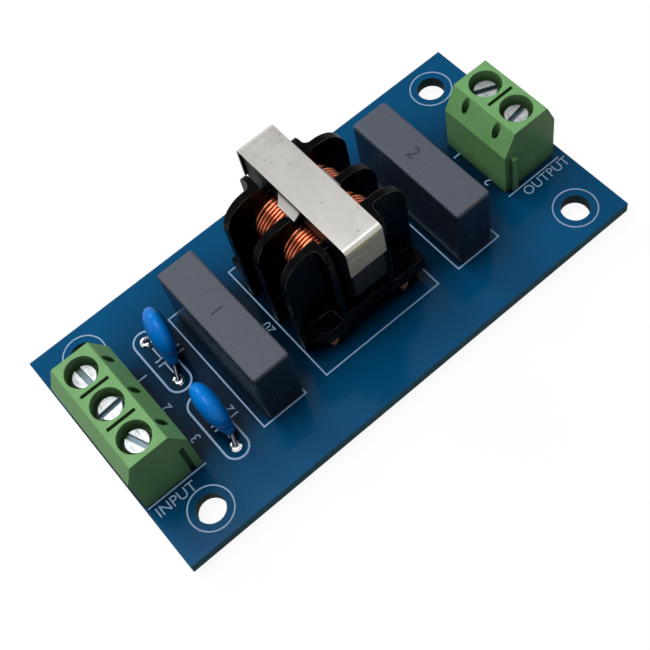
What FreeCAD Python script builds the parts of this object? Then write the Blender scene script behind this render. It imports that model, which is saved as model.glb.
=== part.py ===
import FreeCAD, Part

import math
import os
import re

import Sketcher

# EMI line filter on a small circuit board.
#
# The origin lies under the middle of the board, at the level of the soldered lead tips.
# +X runs along the board from the three-way input terminal to the two-way output terminal,
# +Y across the board and +Z upwards.

# name: (millimetres or degrees, what it is)
SIZES = {
    # circuit board
    "board_length": (65.0, "board, along X"),
    "board_width": (33.0, "board, along Y"),
    "board_thick": (1.6, "board, thickness"),
    "lead_out": (1.8, "soldered lead tips below the board"),
    "mount_hole": (3.5, "mounting hole, diameter"),
    "mount_span_x": (54.7, "mounting holes, centre to centre along X"),
    "mount_span_y": (25.4, "mounting holes, centre to centre along Y"),
    "mount_shift_x": (0.45, "middle of the mounting holes, from the board's middle"),
    "drill_gap": (0.12, "lead hole, wider than the lead all round"),
    # terminal blocks
    "terminal_pitch": (5.08, "from pole to pole"),
    "terminal_depth": (7.8, "block, from the wire side to the inner side"),
    "terminal_height": (10.0, "block, above the board"),
    "terminal_slope_out": (7.0, "height where the outer slope starts"),
    "terminal_slope_in": (6.7, "height where the inner slope starts"),
    "terminal_top_start": (1.2, "top face, from the wire side"),
    "terminal_top_end": (6.15, "end of the top face, from the wire side"),
    "terminal_edge": (0.22, "edge rounding of the block"),
    "input_setback": (0.29, "input block, from the board's end"),
    "output_setback": (1.15, "output block, from the board's end"),
    "input_shift": (-0.24, "middle of the input block along Y"),
    "output_shift": (-0.3, "middle of the output block along Y"),
    "screw_line": (3.6, "screw axis, from the wire side"),
    "screw_recess": (3.9, "screw recess, diameter"),
    "screw_seat": (7.7, "height of the shoulder that the head turns on"),
    "screw_head": (3.1, "screw head, diameter"),
    "screw_head_high": (1.2, "screw head, height"),
    "screw_head_edge": (0.2, "screw head, chamfer"),
    "screw_shank": (2.5, "screw shank, diameter"),
    "screw_bore_gap": (0.06, "play of the shank, all round"),
    "slot_width": (0.7, "screwdriver slot, width"),
    "slot_deep": (0.7, "screwdriver slot, depth"),
    "input_slot_first": (-68.6, "direction of the slot, input screw 1"),
    "input_slot_second": (4.3, "direction of the slot, input screw 2"),
    "input_slot_third": (-85.8, "direction of the slot, input screw 3"),
    "output_slot_first": (-25.6, "direction of the slot, output screw 1"),
    "output_slot_second": (8.9, "direction of the slot, output screw 2"),
    "chamber_start": (1.2, "clamp chamber, from the wire side"),
    "chamber_high": (7.2, "clamp chamber, ceiling"),
    "chamber_play": (0.15, "play of the clamp in its chamber"),
    "clamp_length": (4.4, "clamp, along the wire"),
    "clamp_width": (3.8, "clamp, across the wire"),
    "clamp_floor": (0.7, "clamp, lower wall"),
    "clamp_roof": (1.2, "clamp, threaded upper wall"),
    "clamp_side": (0.65, "clamp, side wall"),
    "clamp_window": (3.15, "clamp, height of its window"),
    "clamp_rest": (0.25, "open clamp, above the board"),
    "contact_thick": (0.7, "contact strip, thickness"),
    "contact_play": (0.12, "contact strip under the clamp's roof"),
    "contact_side_play": (0.12, "contact strip, play at each side"),
    "contact_pin": (0.85, "contact pin, width at the board"),
    "entry_width": (3.4, "wire entry, width"),
    "entry_low": (0.8, "wire entry, lower edge"),
    "entry_high": (4.3, "wire entry, upper edge"),
    "probe_hole": (1.0, "test hole, diameter"),
    "probe_line": (6.75, "test hole, from the wire side"),
    "probe_floor": (7.1, "test hole, height of its floor"),
    "divider_start": (1.85, "slot between poles, from the wire side"),
    "divider_end": (5.5, "end of the slot between poles"),
    "divider_width": (0.42, "slot between poles, width"),
    "divider_deep": (1.2, "slot between poles, depth"),
    "dovetail_line": (6.6, "dovetail, from the wire side"),
    "dovetail_neck": (0.65, "dovetail, width at the block's end"),
    "dovetail_flare": (0.16, "dovetail, flare of each flank"),
    "dovetail_deep": (0.55, "dovetail, depth"),
    "dovetail_high": (6.0, "dovetail, height"),
    "dovetail_play": (0.06, "dovetail, play of the rib in a neighbour's groove"),
    # film capacitors
    "film_length": (18.0, "film capacitor, along Y"),
    "film_thick": (5.0, "film capacitor, along X"),
    "film_high": (10.1, "film capacitor, above the board"),
    "film_shift": (-0.14, "middle of both film capacitors along Y"),
    "film_input_x": (-13.2, "middle of the input film capacitor"),
    "film_output_x": (15.43, "middle of the output film capacitor"),
    "film_wall": (0.7, "case wall"),
    "film_edge": (0.45, "case, rounding of the upright edges"),
    "film_top_edge": (0.4, "case, rounding of the top edges"),
    "film_foot": (0.4, "feet under the case, height"),
    "film_foot_length": (1.6, "feet under the case, along Y"),
    "film_potting_deep": (0.5, "potting, set back inside the case"),
    "film_pitch": (15.0, "leads, centre to centre"),
    "film_lead": (0.8, "lead, diameter"),
    "film_lead_inside": (4.0, "lead, length inside the potting"),
    # ceramic disc capacitors
    "disc_diameter": (6.1, "disc, diameter"),
    "disc_thick": (2.7, "disc, thickness"),
    "disc_flat": (1.0, "disc, radius of the flat middle"),
    "disc_shoulder": (2.25, "disc, radius of its shoulder"),
    "disc_shoulder_thick": (1.95, "disc, thickness at its shoulder"),
    "disc_rim": (0.7, "disc, thickness at its rim"),
    "disc_centre_high": (4.75, "disc, centre above the board"),
    "disc_run_spread": (4.4, "coated lead runs, centre to centre"),
    "disc_run_top": (1.15, "coated lead run, radius inside the disc"),
    "disc_run_tip": (0.5, "coated lead run, radius at its tip"),
    "disc_run_start": (1.6, "coated lead run, start below the disc's centre"),
    "disc_run_end": (3.75, "coated lead run, tip below the disc's centre"),
    "disc_lead": (0.6, "lead, diameter"),
    "disc_lead_rise": (0.35, "lead, straight rise above the board"),
    "disc_lead_inside": (1.2, "lead, length inside the coating"),
    "disc_pitch": (6.75, "solder pads, centre to centre"),
    "disc_pad_x": (-20.48, "solder pads of both discs"),
    "disc_far_pads_y": (5.56, "middle of the far disc's pads"),
    "disc_near_pads_y": (-5.48, "middle of the near disc's pads"),
    "disc_far_x": (-18.95, "far disc, centre"),
    "disc_far_y": (6.1, "far disc, centre"),
    "disc_far_yaw": (-10.0, "far disc, turned about the vertical"),
    "disc_far_lean": (4.5, "far disc, leaning away from the input terminal"),
    "disc_near_x": (-20.15, "near disc, centre"),
    "disc_near_y": (-5.25, "near disc, centre"),
    "disc_near_yaw": (-2.0, "near disc, turned about the vertical"),
    "disc_near_lean": (-4.2, "near disc, leaning towards the input terminal"),
    # common mode choke
    "choke_x": (0.98, "choke, middle"),
    "choke_y": (0.15, "choke, middle"),
    "core_high": (9.8, "core, over both legs"),
    "core_width": (4.3, "core, along X"),
    "core_half": (8.95, "one core half, from the joint to its yoke's face"),
    "core_leg": (2.7, "core leg, height"),
    "core_yoke": (3.15, "core yoke, along Y"),
    "core_corner": (1.0, "core, corner radius"),
    "core_rise": (9.1, "underside of the core, above the board"),
    "bobbin_half": (5.45, "bobbin, half of its length"),
    "bobbin_bore_play": (0.1, "core leg in the bobbin"),
    "bobbin_tube": (0.7, "bobbin tube, wall"),
    "bobbin_tube_corner": (0.6, "bobbin tube, corner radius"),
    "flange_thick": (0.95, "flange, thickness"),
    "flange_half": (8.3, "flange, half of its width"),
    "flange_end_high": (17.4, "end flange, top above the board"),
    "flange_mid_high": (16.5, "middle flange, top above the board"),
    "flange_round": (3.6, "flange, radius of the outer shoulders"),
    "flange_inner_round": (0.9, "middle flange, radius beside its notch"),
    "flange_foot": (2.2, "flange foot, width"),
    "flange_relief": (0.35, "flange, relief between its feet"),
    "notch_half": (3.1, "notch for the upper core leg, half of its width"),
    "notch_play": (0.2, "notch, clear below the upper core leg"),
    "rail_low": (2.5, "pin rail, underside above the board"),
    "rail_high": (4.7, "pin rail, top above the board"),
    "rail_reach": (7.75, "pin rail, face from the choke's middle"),
    "rail_half": (8.05, "pin rail, half of its width"),
    "rail_recess": (0.5, "pin rail, recess of its middle"),
    "rail_block": (4.4, "pin rail, length of each end block"),
    "rail_corner": (2.1, "cut corner that marks the first pin"),
    "cheek_thick": (0.7, "cheek beside the yoke"),
    "cheek_high": (17.4, "cheek, top above the board"),
    "cheek_reach": (7.6, "cheek, end from the choke's middle"),
    "cheek_round": (1.3, "cheek, radius of its upper corner"),
    "cheek_root": (0.75, "cheek, radius at the flange"),
    "winding_build": (2.9, "winding, height over the tube"),
    "winding_step": (0.4, "winding, last turns below the outer layer"),
    "turn_pitch": (0.45, "winding, from turn to turn of the outer layer"),
    "winding_play": (0.06, "winding, clear of each flange"),
    "turn_groove": (0.17, "winding, depth of the grooves between turns"),
    "clip_thick": (0.28, "spring clip, sheet"),
    "clip_bend": (0.7, "spring clip, outer bend radius"),
    "clip_lip": (4.7, "spring clip, depth of its lips"),
    "clip_tab_top": (3.8, "clip tab, length at the clip"),
    "clip_tab_low": (2.2, "clip tab, length at its end"),
    "clip_tab_deep": (2.6, "clip tab, depth"),
    "choke_pin": (0.7, "choke pin, diameter"),
    "choke_pin_span_x": (10.5, "choke pins, centre to centre along X"),
    "choke_pin_span_y": (13.4, "choke pins, centre to centre along Y"),
    "choke_pin_inside": (1.2, "choke pin, length inside the rail"),
    # solder
    "solder_foot": (0.55, "solder cone, wider than the lead at the board"),
    "solder_tip": (0.1, "solder cone, wider than the lead at its tip"),
}

POLES = {"input": 3, "output": 2}
OUTER_TURNS = 7
EYELET_SIDES = 8
SLOTS = {
    "input": ("input_slot_first", "input_slot_second", "input_slot_third"),
    "output": ("output_slot_first", "output_slot_second"),
}

BOARD_TOP = "(lead_out + board_thick)"
FORWARD = FreeCAD.Vector(0, 0, 1)
ACROSS = FreeCAD.Vector(0, 1, 0)
FULL_TURN = 360
SAME = 1e-6
NAME = re.compile(r"[a-z][a-z_]*")

doc = FreeCAD.newDocument("EmiLineFilter")
sheet = doc.addObject("Spreadsheet::Sheet", "Sizes")
for row, (alias, (number, note)) in enumerate(SIZES.items(), start=1):
    sheet.set(f"A{row}", alias)
    sheet.set(f"B{row}", str(number))
    sheet.set(f"C{row}", note)
    sheet.setAlias(f"B{row}", alias)
doc.recompute()


def bound(expression):
    """The expression with each name of the table written as a cell of the sheet."""
    return NAME.sub(lambda word: f"Sizes.{word.group()}" if word.group() in SIZES else word.group(), expression)


def value(expression):
    """The number that an expression of the table's names comes to."""
    result = sheet.evalExpression(expression)
    return float(getattr(result, "Value", result))


def bind(thing, **expressions):
    """Tie properties of an object to the sheet; a double underscore stands for a dot."""
    for name, expression in expressions.items():
        thing.setExpression(name.replace("__", "."), bound(expression))


def place(thing, x="0", y="0", z="0", turn=None, axis=FORWARD):
    """Put an object where the expressions say, turned about the vertical or another axis."""
    if turn is not None:
        thing.Placement = FreeCAD.Placement(FreeCAD.Vector(), FreeCAD.Rotation(axis, 1))
        bind(thing, Placement__Rotation__Angle=turn)
    bind(thing, Placement__Base__x=x, Placement__Base__y=y, Placement__Base__z=z)


def body(label):
    """A new body that carries the name of its sub-part."""
    made = doc.addObject("PartDesign::Body", "Body_" + label)
    made.Label = label
    return made


class Drawing:
    """A sketch on one of its body's own planes, with every point held by expressions."""

    def __init__(self, owner, plane="XY_Plane", level="0"):
        """Attach the sketch to the plane, lifted along the plane's normal by the level."""
        self.sketch = owner.newObject("Sketcher::SketchObject", "Sketch")
        support = [item for item in owner.Origin.OriginFeatures if item.Role == plane][0]
        self.sketch.AttachmentSupport = [(support, "")]
        self.sketch.MapMode = "FlatFace"
        bind(self.sketch, AttachmentOffset__Base__z=level)

    def hold(self, geometry, corner, x, y):
        """Hold one point of a piece of geometry at x and y."""
        for kind, expression in (("DistanceX", x), ("DistanceY", y)):
            rule = Sketcher.Constraint(kind, -1, 1, geometry, corner, value(expression))
            number = self.sketch.addConstraint(rule)
            self.sketch.setExpression(f"Constraints[{number}]", bound(expression))

    def radius(self, geometry, expression):
        """Hold the radius of a circle or arc."""
        number = self.sketch.addConstraint(Sketcher.Constraint("Radius", geometry, value(expression)))
        self.sketch.setExpression(f"Constraints[{number}]", bound(expression))

    def circle(self, x, y, radius):
        """A circle about x and y."""
        centre = FreeCAD.Vector(value(x), value(y), 0)
        number = self.sketch.addGeometry(Part.Circle(centre, FORWARD, value(radius)), False)
        self.hold(number, 3, x, y)
        self.radius(number, radius)
        return self

    def outline(self, *corners):
        """A closed outline of (x, y) corners, where (x, y, radius, side) starts an arc to the next corner.

        The side is 1 for an arc that turns left on its way and -1 for one that turns right.
        """
        spots = [FreeCAD.Vector(value(c[0]), value(c[1]), 0) for c in corners]
        edges = []
        for index, corner in enumerate(corners):
            start = spots[index]
            end = spots[(index + 1) % len(corners)]
            if len(corner) == 2:
                number = self.sketch.addGeometry(Part.LineSegment(start, end), False)
                edges.append((number, 1, 2))
                continue
            reach = value(corner[2])
            chord = end - start
            half = chord.Length / 2
            off = FreeCAD.Vector(-chord.y, chord.x, 0).normalize() * corner[3]
            centre = (start + end) * 0.5 + off * math.sqrt(max(reach * reach - half * half, 0.0))
            first, last = (start, end) if corner[3] > 0 else (end, start)
            begin = math.atan2(first.y - centre.y, first.x - centre.x)
            finish = math.atan2(last.y - centre.y, last.x - centre.x)
            arc = Part.ArcOfCircle(Part.Circle(centre, FORWARD, reach), begin, finish)
            number = self.sketch.addGeometry(arc, False)
            edges.append((number, 1, 2) if corner[3] > 0 else (number, 2, 1))
        for index, (number, start, end) in enumerate(edges):
            following = edges[(index + 1) % len(edges)]
            self.sketch.addConstraint(Sketcher.Constraint("Coincident", number, end, following[0], following[1]))
            self.hold(number, start, corners[index][0], corners[index][1])
            if len(corners[index]) > 2:
                self.radius(number, corners[index][2])
        return self

    def box(self, left, right, low, high, corner=None):
        """A rectangle between two x and two y values, with round corners if a radius is given."""
        if corner is None:
            return self.outline((left, low), (right, low), (right, high), (left, high))
        return self.outline(
            (f"{left} + {corner}", low), (f"{right} - {corner}", low, corner, 1),
            (right, f"{low} + {corner}"), (right, f"{high} - {corner}", corner, 1),
            (f"{right} - {corner}", high), (f"{left} + {corner}", high, corner, 1),
            (left, f"{high} - {corner}"), (left, f"{low} + {corner}", corner, 1))

    def trail(self, *corners):
        """An open path of straight runs through (x, y) corners."""
        spots = [FreeCAD.Vector(value(x), value(y), 0) for x, y in corners]
        for index in range(len(corners) - 1):
            number = self.sketch.addGeometry(Part.LineSegment(spots[index], spots[index + 1]), False)
            self.hold(number, 1, *corners[index])
            if index:
                self.sketch.addConstraint(Sketcher.Constraint("Coincident", number - 1, 2, number, 1))
        self.hold(len(corners) - 2, 2, *corners[-1])
        return self


def pad(owner, drawing, length, both=False, back=False):
    """Material from a sketch: on both sides of its plane, ahead of it, or behind it."""
    made = owner.newObject("PartDesign::Pad", "Pad")
    made.Profile = drawing.sketch
    made.Midplane = both
    made.Reversed = back
    bind(made, Length=length)
    doc.recompute()
    return made


def revolve(owner, drawing, axis):
    """Material from half of a section, turned once round an axis of its sketch."""
    made = owner.newObject("PartDesign::Revolution", "Revolution")
    made.Profile = drawing.sketch
    made.ReferenceAxis = (drawing.sketch, [axis])
    made.Angle = FULL_TURN
    doc.recompute()
    return made


def pocket(owner, drawing, length=None, ahead=False):
    """A cut from a sketch: behind its plane, ahead of it, or all the way through both ways."""
    before = owner.Shape.Volume
    made = owner.newObject("PartDesign::Pocket", "Pocket")
    made.Profile = drawing.sketch
    if length is None:
        made.Type = "ThroughAll"
        made.Midplane = True
    else:
        made.Reversed = ahead
        bind(made, Length=length)
    doc.recompute()
    if owner.Shape.Volume >= before:
        raise RuntimeError(f"{owner.Label}: {made.Name} cuts nothing")
    return made


def repeat(owner, features, length, count):
    """The features again along the body's Y axis, count times over the length."""
    made = owner.newObject("PartDesign::LinearPattern", "LinearPattern")
    made.Originals = features
    axis = [item for item in owner.Origin.OriginFeatures if item.Role == "Y_Axis"][0]
    made.Direction = (axis, [""])
    bind(made, Length=length)
    made.Occurrences = count
    owner.Tip = made
    doc.recompute()
    return made


def dress(owner, kind, size, wanted):
    """A fillet or chamfer on the edges of the body that the test picks."""
    base = owner.Tip
    names = [f"Edge{number}" for number, edge in enumerate(base.Shape.Edges, start=1) if wanted(edge)]
    made = owner.newObject(f"PartDesign::{kind}", kind)
    made.Base = (base, names)
    bind(made, **{"Radius" if kind == "Fillet" else "Size": size})
    doc.recompute()
    return made


def runs_along(edge, axis):
    """Whether a straight edge runs along an axis."""
    if edge.Curve.TypeId != "Part::GeomLine":
        return False
    return abs(abs(edge.tangentAt(edge.FirstParameter)[axis]) - 1) < SAME


def middle(edge):
    """The middle point of an edge."""
    return edge.valueAt((edge.FirstParameter + edge.LastParameter) / 2)


def group(label, members):
    """Separate solids that share one sub-part."""
    made = doc.addObject("Part::Compound", "Group_" + label)
    made.Links = members
    made.Label = label
    return made


def rod(radius, low, high, x, y):
    """A round bar along Z between two heights."""
    made = doc.addObject("Part::Cylinder", "Rod")
    bind(made, Radius=radius, Height=f"{high} - ({low})")
    place(made, x, y, low)
    return made


def pole_offset(side, number):
    """Where a pole lies along its own block."""
    return f"(({number} - {(POLES[side] - 1) / 2}) * terminal_pitch)"


INPUT_X = "(-board_length / 2 + input_setback)"
OUTPUT_X = "(board_length / 2 - output_setback)"
LEG_LINE = "(chamber_start + clamp_length + 2 * chamber_play + contact_thick / 2)"
CHOKE_PINS = [(f"(choke_x {sx} choke_pin_span_x / 2)", f"(choke_y {sy} choke_pin_span_y / 2)")
              for sx in "-+" for sy in "-+"]
FILM_X = {"input": "film_input_x", "output": "film_output_x"}


def terminal_x(side, along):
    """X of something that lies `along` from the wire side of a block."""
    return f"({INPUT_X} + {along})" if side == "input" else f"({OUTPUT_X} - {along})"


def terminal_y(side, along):
    """Y of something that lies `along` the row of a block; the output block is turned half round."""
    return f"(input_shift + {along})" if side == "input" else f"(output_shift - {along})"


# plan position and radius of every lead that is soldered into the board
LEADS = []
for side in POLES:
    for number in range(POLES[side]):
        LEADS.append((terminal_x(side, LEG_LINE), terminal_y(side, pole_offset(side, number)), "(contact_pin / 2 + drill_gap)"))
    for sign in "-+":
        LEADS.append((FILM_X[side], f"(film_shift {sign} film_pitch / 2)", "(film_lead / 2)"))
for pads_y in ("disc_far_pads_y", "disc_near_pads_y"):
    for sign in "-+":
        LEADS.append(("disc_pad_x", f"({pads_y} {sign} disc_pitch / 2)", "(disc_lead / 2)"))
for pin_x, pin_y in CHOKE_PINS:
    LEADS.append((pin_x, pin_y, "(choke_pin / 2)"))


def eyelets(label, margin, level):
    """An eight-sided outline round each lead, wider than the lead by the margin."""
    rings = []
    for lead_x, lead_y, lead_r in LEADS:
        ring = doc.addObject("Part::RegularPolygon", "Eyelet")
        ring.Polygon = EYELET_SIDES
        bind(ring, Circumradius=f"{lead_r} + {margin}")
        place(ring, lead_x, lead_y, level)
        rings.append(ring)
    return group(label, rings)


def columns(outlines, length, taper="0"):
    """Solid columns down from the outlines, each narrowing by the taper angle."""
    made = doc.addObject("Part::Extrusion", "Columns")
    made.Base = outlines
    made.DirMode = "Custom"
    made.Dir = -FORWARD
    made.Solid = True
    bind(made, LengthFwd=length, TaperAngle=taper)
    return made


def circuit_board():
    """The drilled board."""
    blank = body("board_blank")
    outline = Drawing(blank).box("-board_length / 2", "board_length / 2", "-board_width / 2", "board_width / 2")
    pad(blank, outline, "board_thick")
    holes = Drawing(blank)
    for sx in "-+":
        for sy in "-+":
            holes.circle(f"mount_shift_x {sx} mount_span_x / 2", f"0 {sy} mount_span_y / 2", "mount_hole / 2")
    pocket(blank, holes)
    place(blank, z="lead_out")
    made = doc.addObject("Part::Cut", "Board")
    made.Base = blank
    made.Tool = columns(eyelets("lead_holes", "drill_gap", BOARD_TOP), "board_thick")
    made.Label = "circuit_board"
    return made


def stand_terminal(thing, side, x="0", y="0", z="0"):
    """Put a piece that is drawn in its block's frame on the board; the output block is turned half round."""
    turn = "0" if side == "input" else "180"
    place(thing, terminal_x(side, x), terminal_y(side, y), f"{BOARD_TOP} + {z}", turn)


def terminal_housing(side):
    """The moulded block: sloped shoulders, screw wells, clamp chambers, wire entries and dovetails."""
    poles = POLES[side]
    length = f"{poles} * terminal_pitch"
    first = pole_offset(side, 0)
    made = body(f"{side}_terminal_housing")
    profile = Drawing(made, "XZ_Plane").outline(
        ("0", "0"), ("terminal_depth", "0"), ("terminal_depth", "terminal_slope_in"),
        ("terminal_top_end", "terminal_height"), ("terminal_top_start", "terminal_height"),
        ("0", "terminal_slope_out"))
    pad(made, profile, length, both=True)
    dress(made, "Fillet", "terminal_edge",
          lambda edge: runs_along(edge, 1) and middle(edge).z > value("terminal_height") / 2)

    gap = "chamber_play"
    half = f"(clamp_width / 2 + {gap})"
    rear = "(clamp_width / 2 - clamp_side)"
    far = f"(chamber_start + clamp_length + 2 * {gap})"
    chamber = Drawing(made).outline(
        ("chamber_start", f"{first} - {half}"), (far, f"{first} - {half}"), (far, f"{first} - {rear}"),
        (f"{far} + contact_thick", f"{first} - {rear}"), (f"{far} + contact_thick", f"{first} + {rear}"),
        (far, f"{first} + {rear}"), (far, f"{first} + {half}"), ("chamber_start", f"{first} + {half}"))
    entry = Drawing(made, "YZ_Plane").box(
        f"{first} - entry_width / 2", f"{first} + entry_width / 2", "entry_low", "entry_high")
    well = Drawing(made, level="terminal_height").circle("screw_line", first, "screw_recess / 2")
    bore = Drawing(made, level="screw_seat").circle("screw_line", first, "screw_shank / 2 + screw_bore_gap")
    probe = Drawing(made, level="terminal_height").circle("probe_line", first, "probe_hole / 2")
    one_pole = [
        pocket(made, chamber, "chamber_high", ahead=True),
        pocket(made, entry, "chamber_start + clamp_length / 2", ahead=True),
        pocket(made, well, "terminal_height - screw_seat"),
        pocket(made, bore, "screw_seat - chamber_high / 2"),
        pocket(made, probe, "terminal_height - probe_floor"),
    ]
    repeat(made, one_pole, f"{poles - 1} * terminal_pitch", poles)

    dividers = Drawing(made, level="terminal_height")
    for number in range(1, poles):
        line = f"({pole_offset(side, number)} - terminal_pitch / 2)"
        dividers.box("divider_start", "divider_end", f"{line} - divider_width / 2", f"{line} + divider_width / 2")
    pocket(made, dividers, "divider_deep")

    end = f"({length} / 2)"
    neck = "dovetail_neck / 2"
    groove = Drawing(made).outline(
        (f"dovetail_line - {neck}", f"-{end}"), (f"dovetail_line + {neck}", f"-{end}"),
        (f"dovetail_line + {neck} + dovetail_flare", f"dovetail_deep - {end}"),
        (f"dovetail_line - {neck} - dovetail_flare", f"dovetail_deep - {end}"))
    pocket(made, groove, "dovetail_high", ahead=True)
    slim = "(dovetail_neck / 2 - dovetail_play)"
    reach = "(dovetail_deep - dovetail_play)"
    rib = Drawing(made).outline(
        (f"dovetail_line - {slim}", end), (f"dovetail_line + {slim}", end),
        (f"dovetail_line + {slim} + dovetail_flare", f"{end} + {reach}"),
        (f"dovetail_line - {slim} - dovetail_flare", f"{end} + {reach}"))
    pad(made, rib, "dovetail_high - dovetail_play")
    stand_terminal(made, side)
    return made


def terminal_screw(side, number):
    """A slotted screw: it turns on its seat in the block and draws the clamp up."""
    made = body(f"{side}_screw_{number + 1}")
    tip = "(clamp_rest + clamp_floor + clamp_window)"
    profile = Drawing(made, "XZ_Plane").outline(
        ("0", tip), ("screw_shank / 2", tip), ("screw_shank / 2", "screw_seat"),
        ("screw_head / 2", "screw_seat"), ("screw_head / 2", "screw_seat + screw_head_high - screw_head_edge"),
        ("screw_head / 2 - screw_head_edge", "screw_seat + screw_head_high"),
        ("0", "screw_seat + screw_head_high"))
    revolve(made, profile, "V_Axis")
    slot = Drawing(made, level="screw_seat + screw_head_high").box(
        "-screw_head", "screw_head", "-slot_width / 2", "slot_width / 2")
    pocket(made, slot, "slot_deep")
    at_x = terminal_x(side, "screw_line")
    place(made, at_x, terminal_y(side, pole_offset(side, number)), BOARD_TOP, SLOTS[side][number])
    return made


def terminal_clamp(side, number):
    """A rising clamp: a rectangular box, open along the wire, with the screw through its roof."""
    made = body(f"{side}_clamp_{number + 1}")
    start = "(chamber_start + chamber_play)"
    line = pole_offset(side, number)
    top = "(clamp_rest + clamp_floor + clamp_window + clamp_roof)"
    block = Drawing(made, level="clamp_rest").box(
        start, f"{start} + clamp_length", f"{line} - clamp_width / 2", f"{line} + clamp_width / 2")
    pad(made, block, "clamp_floor + clamp_window + clamp_roof")
    window = Drawing(made, "YZ_Plane").box(
        f"{line} - clamp_width / 2 + clamp_side", f"{line} + clamp_width / 2 - clamp_side",
        "clamp_rest + clamp_floor", "clamp_rest + clamp_floor + clamp_window")
    pocket(made, window)
    thread = Drawing(made, level=top).circle("screw_line", line, "screw_shank / 2 + screw_bore_gap")
    pocket(made, thread, "clamp_roof + clamp_window / 2")
    stand_terminal(made, side)
    return made


def contact_pins(side):
    """The contact strips: a tongue through each clamp, bent down to a pin through the board."""
    made = body(f"{side}_contact_pins")
    made.AllowCompound = True
    first = pole_offset(side, 0)
    upper = "(clamp_rest + clamp_floor + clamp_window - contact_play)"
    lower = f"({upper} - contact_thick)"
    back = "(chamber_start + clamp_length + 2 * chamber_play + contact_thick)"
    tongue = "(clamp_width / 2 - clamp_side - contact_side_play)"
    strip = Drawing(made, level=lower).box(
        "chamber_start + chamber_play", back, f"{first} - {tongue}", f"{first} + {tongue}")
    flat = pad(made, strip, "contact_thick")
    upright = Drawing(made).box(
        f"{back} - contact_thick", back, f"{first} - {tongue}", f"{first} + {tongue}")
    leg = pad(made, upright, lower)
    pin = Drawing(made, level="-board_thick").box(
        f"{back} - contact_thick", back, f"{first} - contact_pin / 2", f"{first} + contact_pin / 2")
    down = pad(made, pin, "board_thick")
    repeat(made, [flat, leg, down], f"{POLES[side] - 1} * terminal_pitch", POLES[side])
    stand_terminal(made, side)
    return made


def film_case(side):
    """The moulded box of a film capacitor, open below, on two pairs of small feet."""
    made = body(f"{side}_film_case")
    outside = Drawing(made, level="film_foot").box(
        "-film_thick / 2", "film_thick / 2", "-film_length / 2", "film_length / 2", "film_edge")
    pad(made, outside, "film_high - film_foot")
    dress(made, "Fillet", "film_top_edge", lambda edge: abs(middle(edge).z - value("film_high")) < SAME)
    inside = Drawing(made, level="film_foot").box(
        "-film_thick / 2 + film_wall", "film_thick / 2 - film_wall",
        "-film_length / 2 + film_wall", "film_length / 2 - film_wall")
    pocket(made, inside, "film_high - film_foot - film_wall", ahead=True)
    feet = Drawing(made)
    for sx in (-1, 1):
        for sy in (-1, 1):
            edge_x = f"({sx} * film_thick / 2)"
            root_x = f"({sx} * (film_thick / 2 - film_wall))"
            edge_y = f"({sy} * (film_length / 2 - film_edge))"
            root_y = f"({sy} * (film_length / 2 - film_edge - film_foot_length))"
            low_x, high_x = (edge_x, root_x) if sx < 0 else (root_x, edge_x)
            low_y, high_y = (edge_y, root_y) if sy < 0 else (root_y, edge_y)
            feet.box(low_x, high_x, low_y, high_y)
    pad(made, feet, "film_foot")
    place(made, FILM_X[side], "film_shift", BOARD_TOP)
    return made


def film_potting(side):
    """The cast resin that fills the case round the leads."""
    made = body(f"{side}_film_potting")
    low = "(film_foot + film_potting_deep)"
    block = Drawing(made, level=low).box(
        "-film_thick / 2 + film_wall", "film_thick / 2 - film_wall",
        "-film_length / 2 + film_wall", "film_length / 2 - film_wall")
    pad(made, block, f"film_high - film_wall - {low}")
    holes = Drawing(made, level=low)
    holes.circle("0", "-film_pitch / 2", "film_lead / 2")
    holes.circle("0", "film_pitch / 2", "film_lead / 2")
    pocket(made, holes, "film_lead_inside", ahead=True)
    place(made, FILM_X[side], "film_shift", BOARD_TOP)
    return made


def film_leads(side):
    """The two straight leads of a film capacitor."""
    high = f"{BOARD_TOP} + film_foot + film_potting_deep + film_lead_inside"
    rods = [rod("film_lead / 2", "lead_out", high, FILM_X[side], f"film_shift {sign} film_pitch / 2") for sign in "-+"]
    return group(f"{side}_film_leads", rods)


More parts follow.
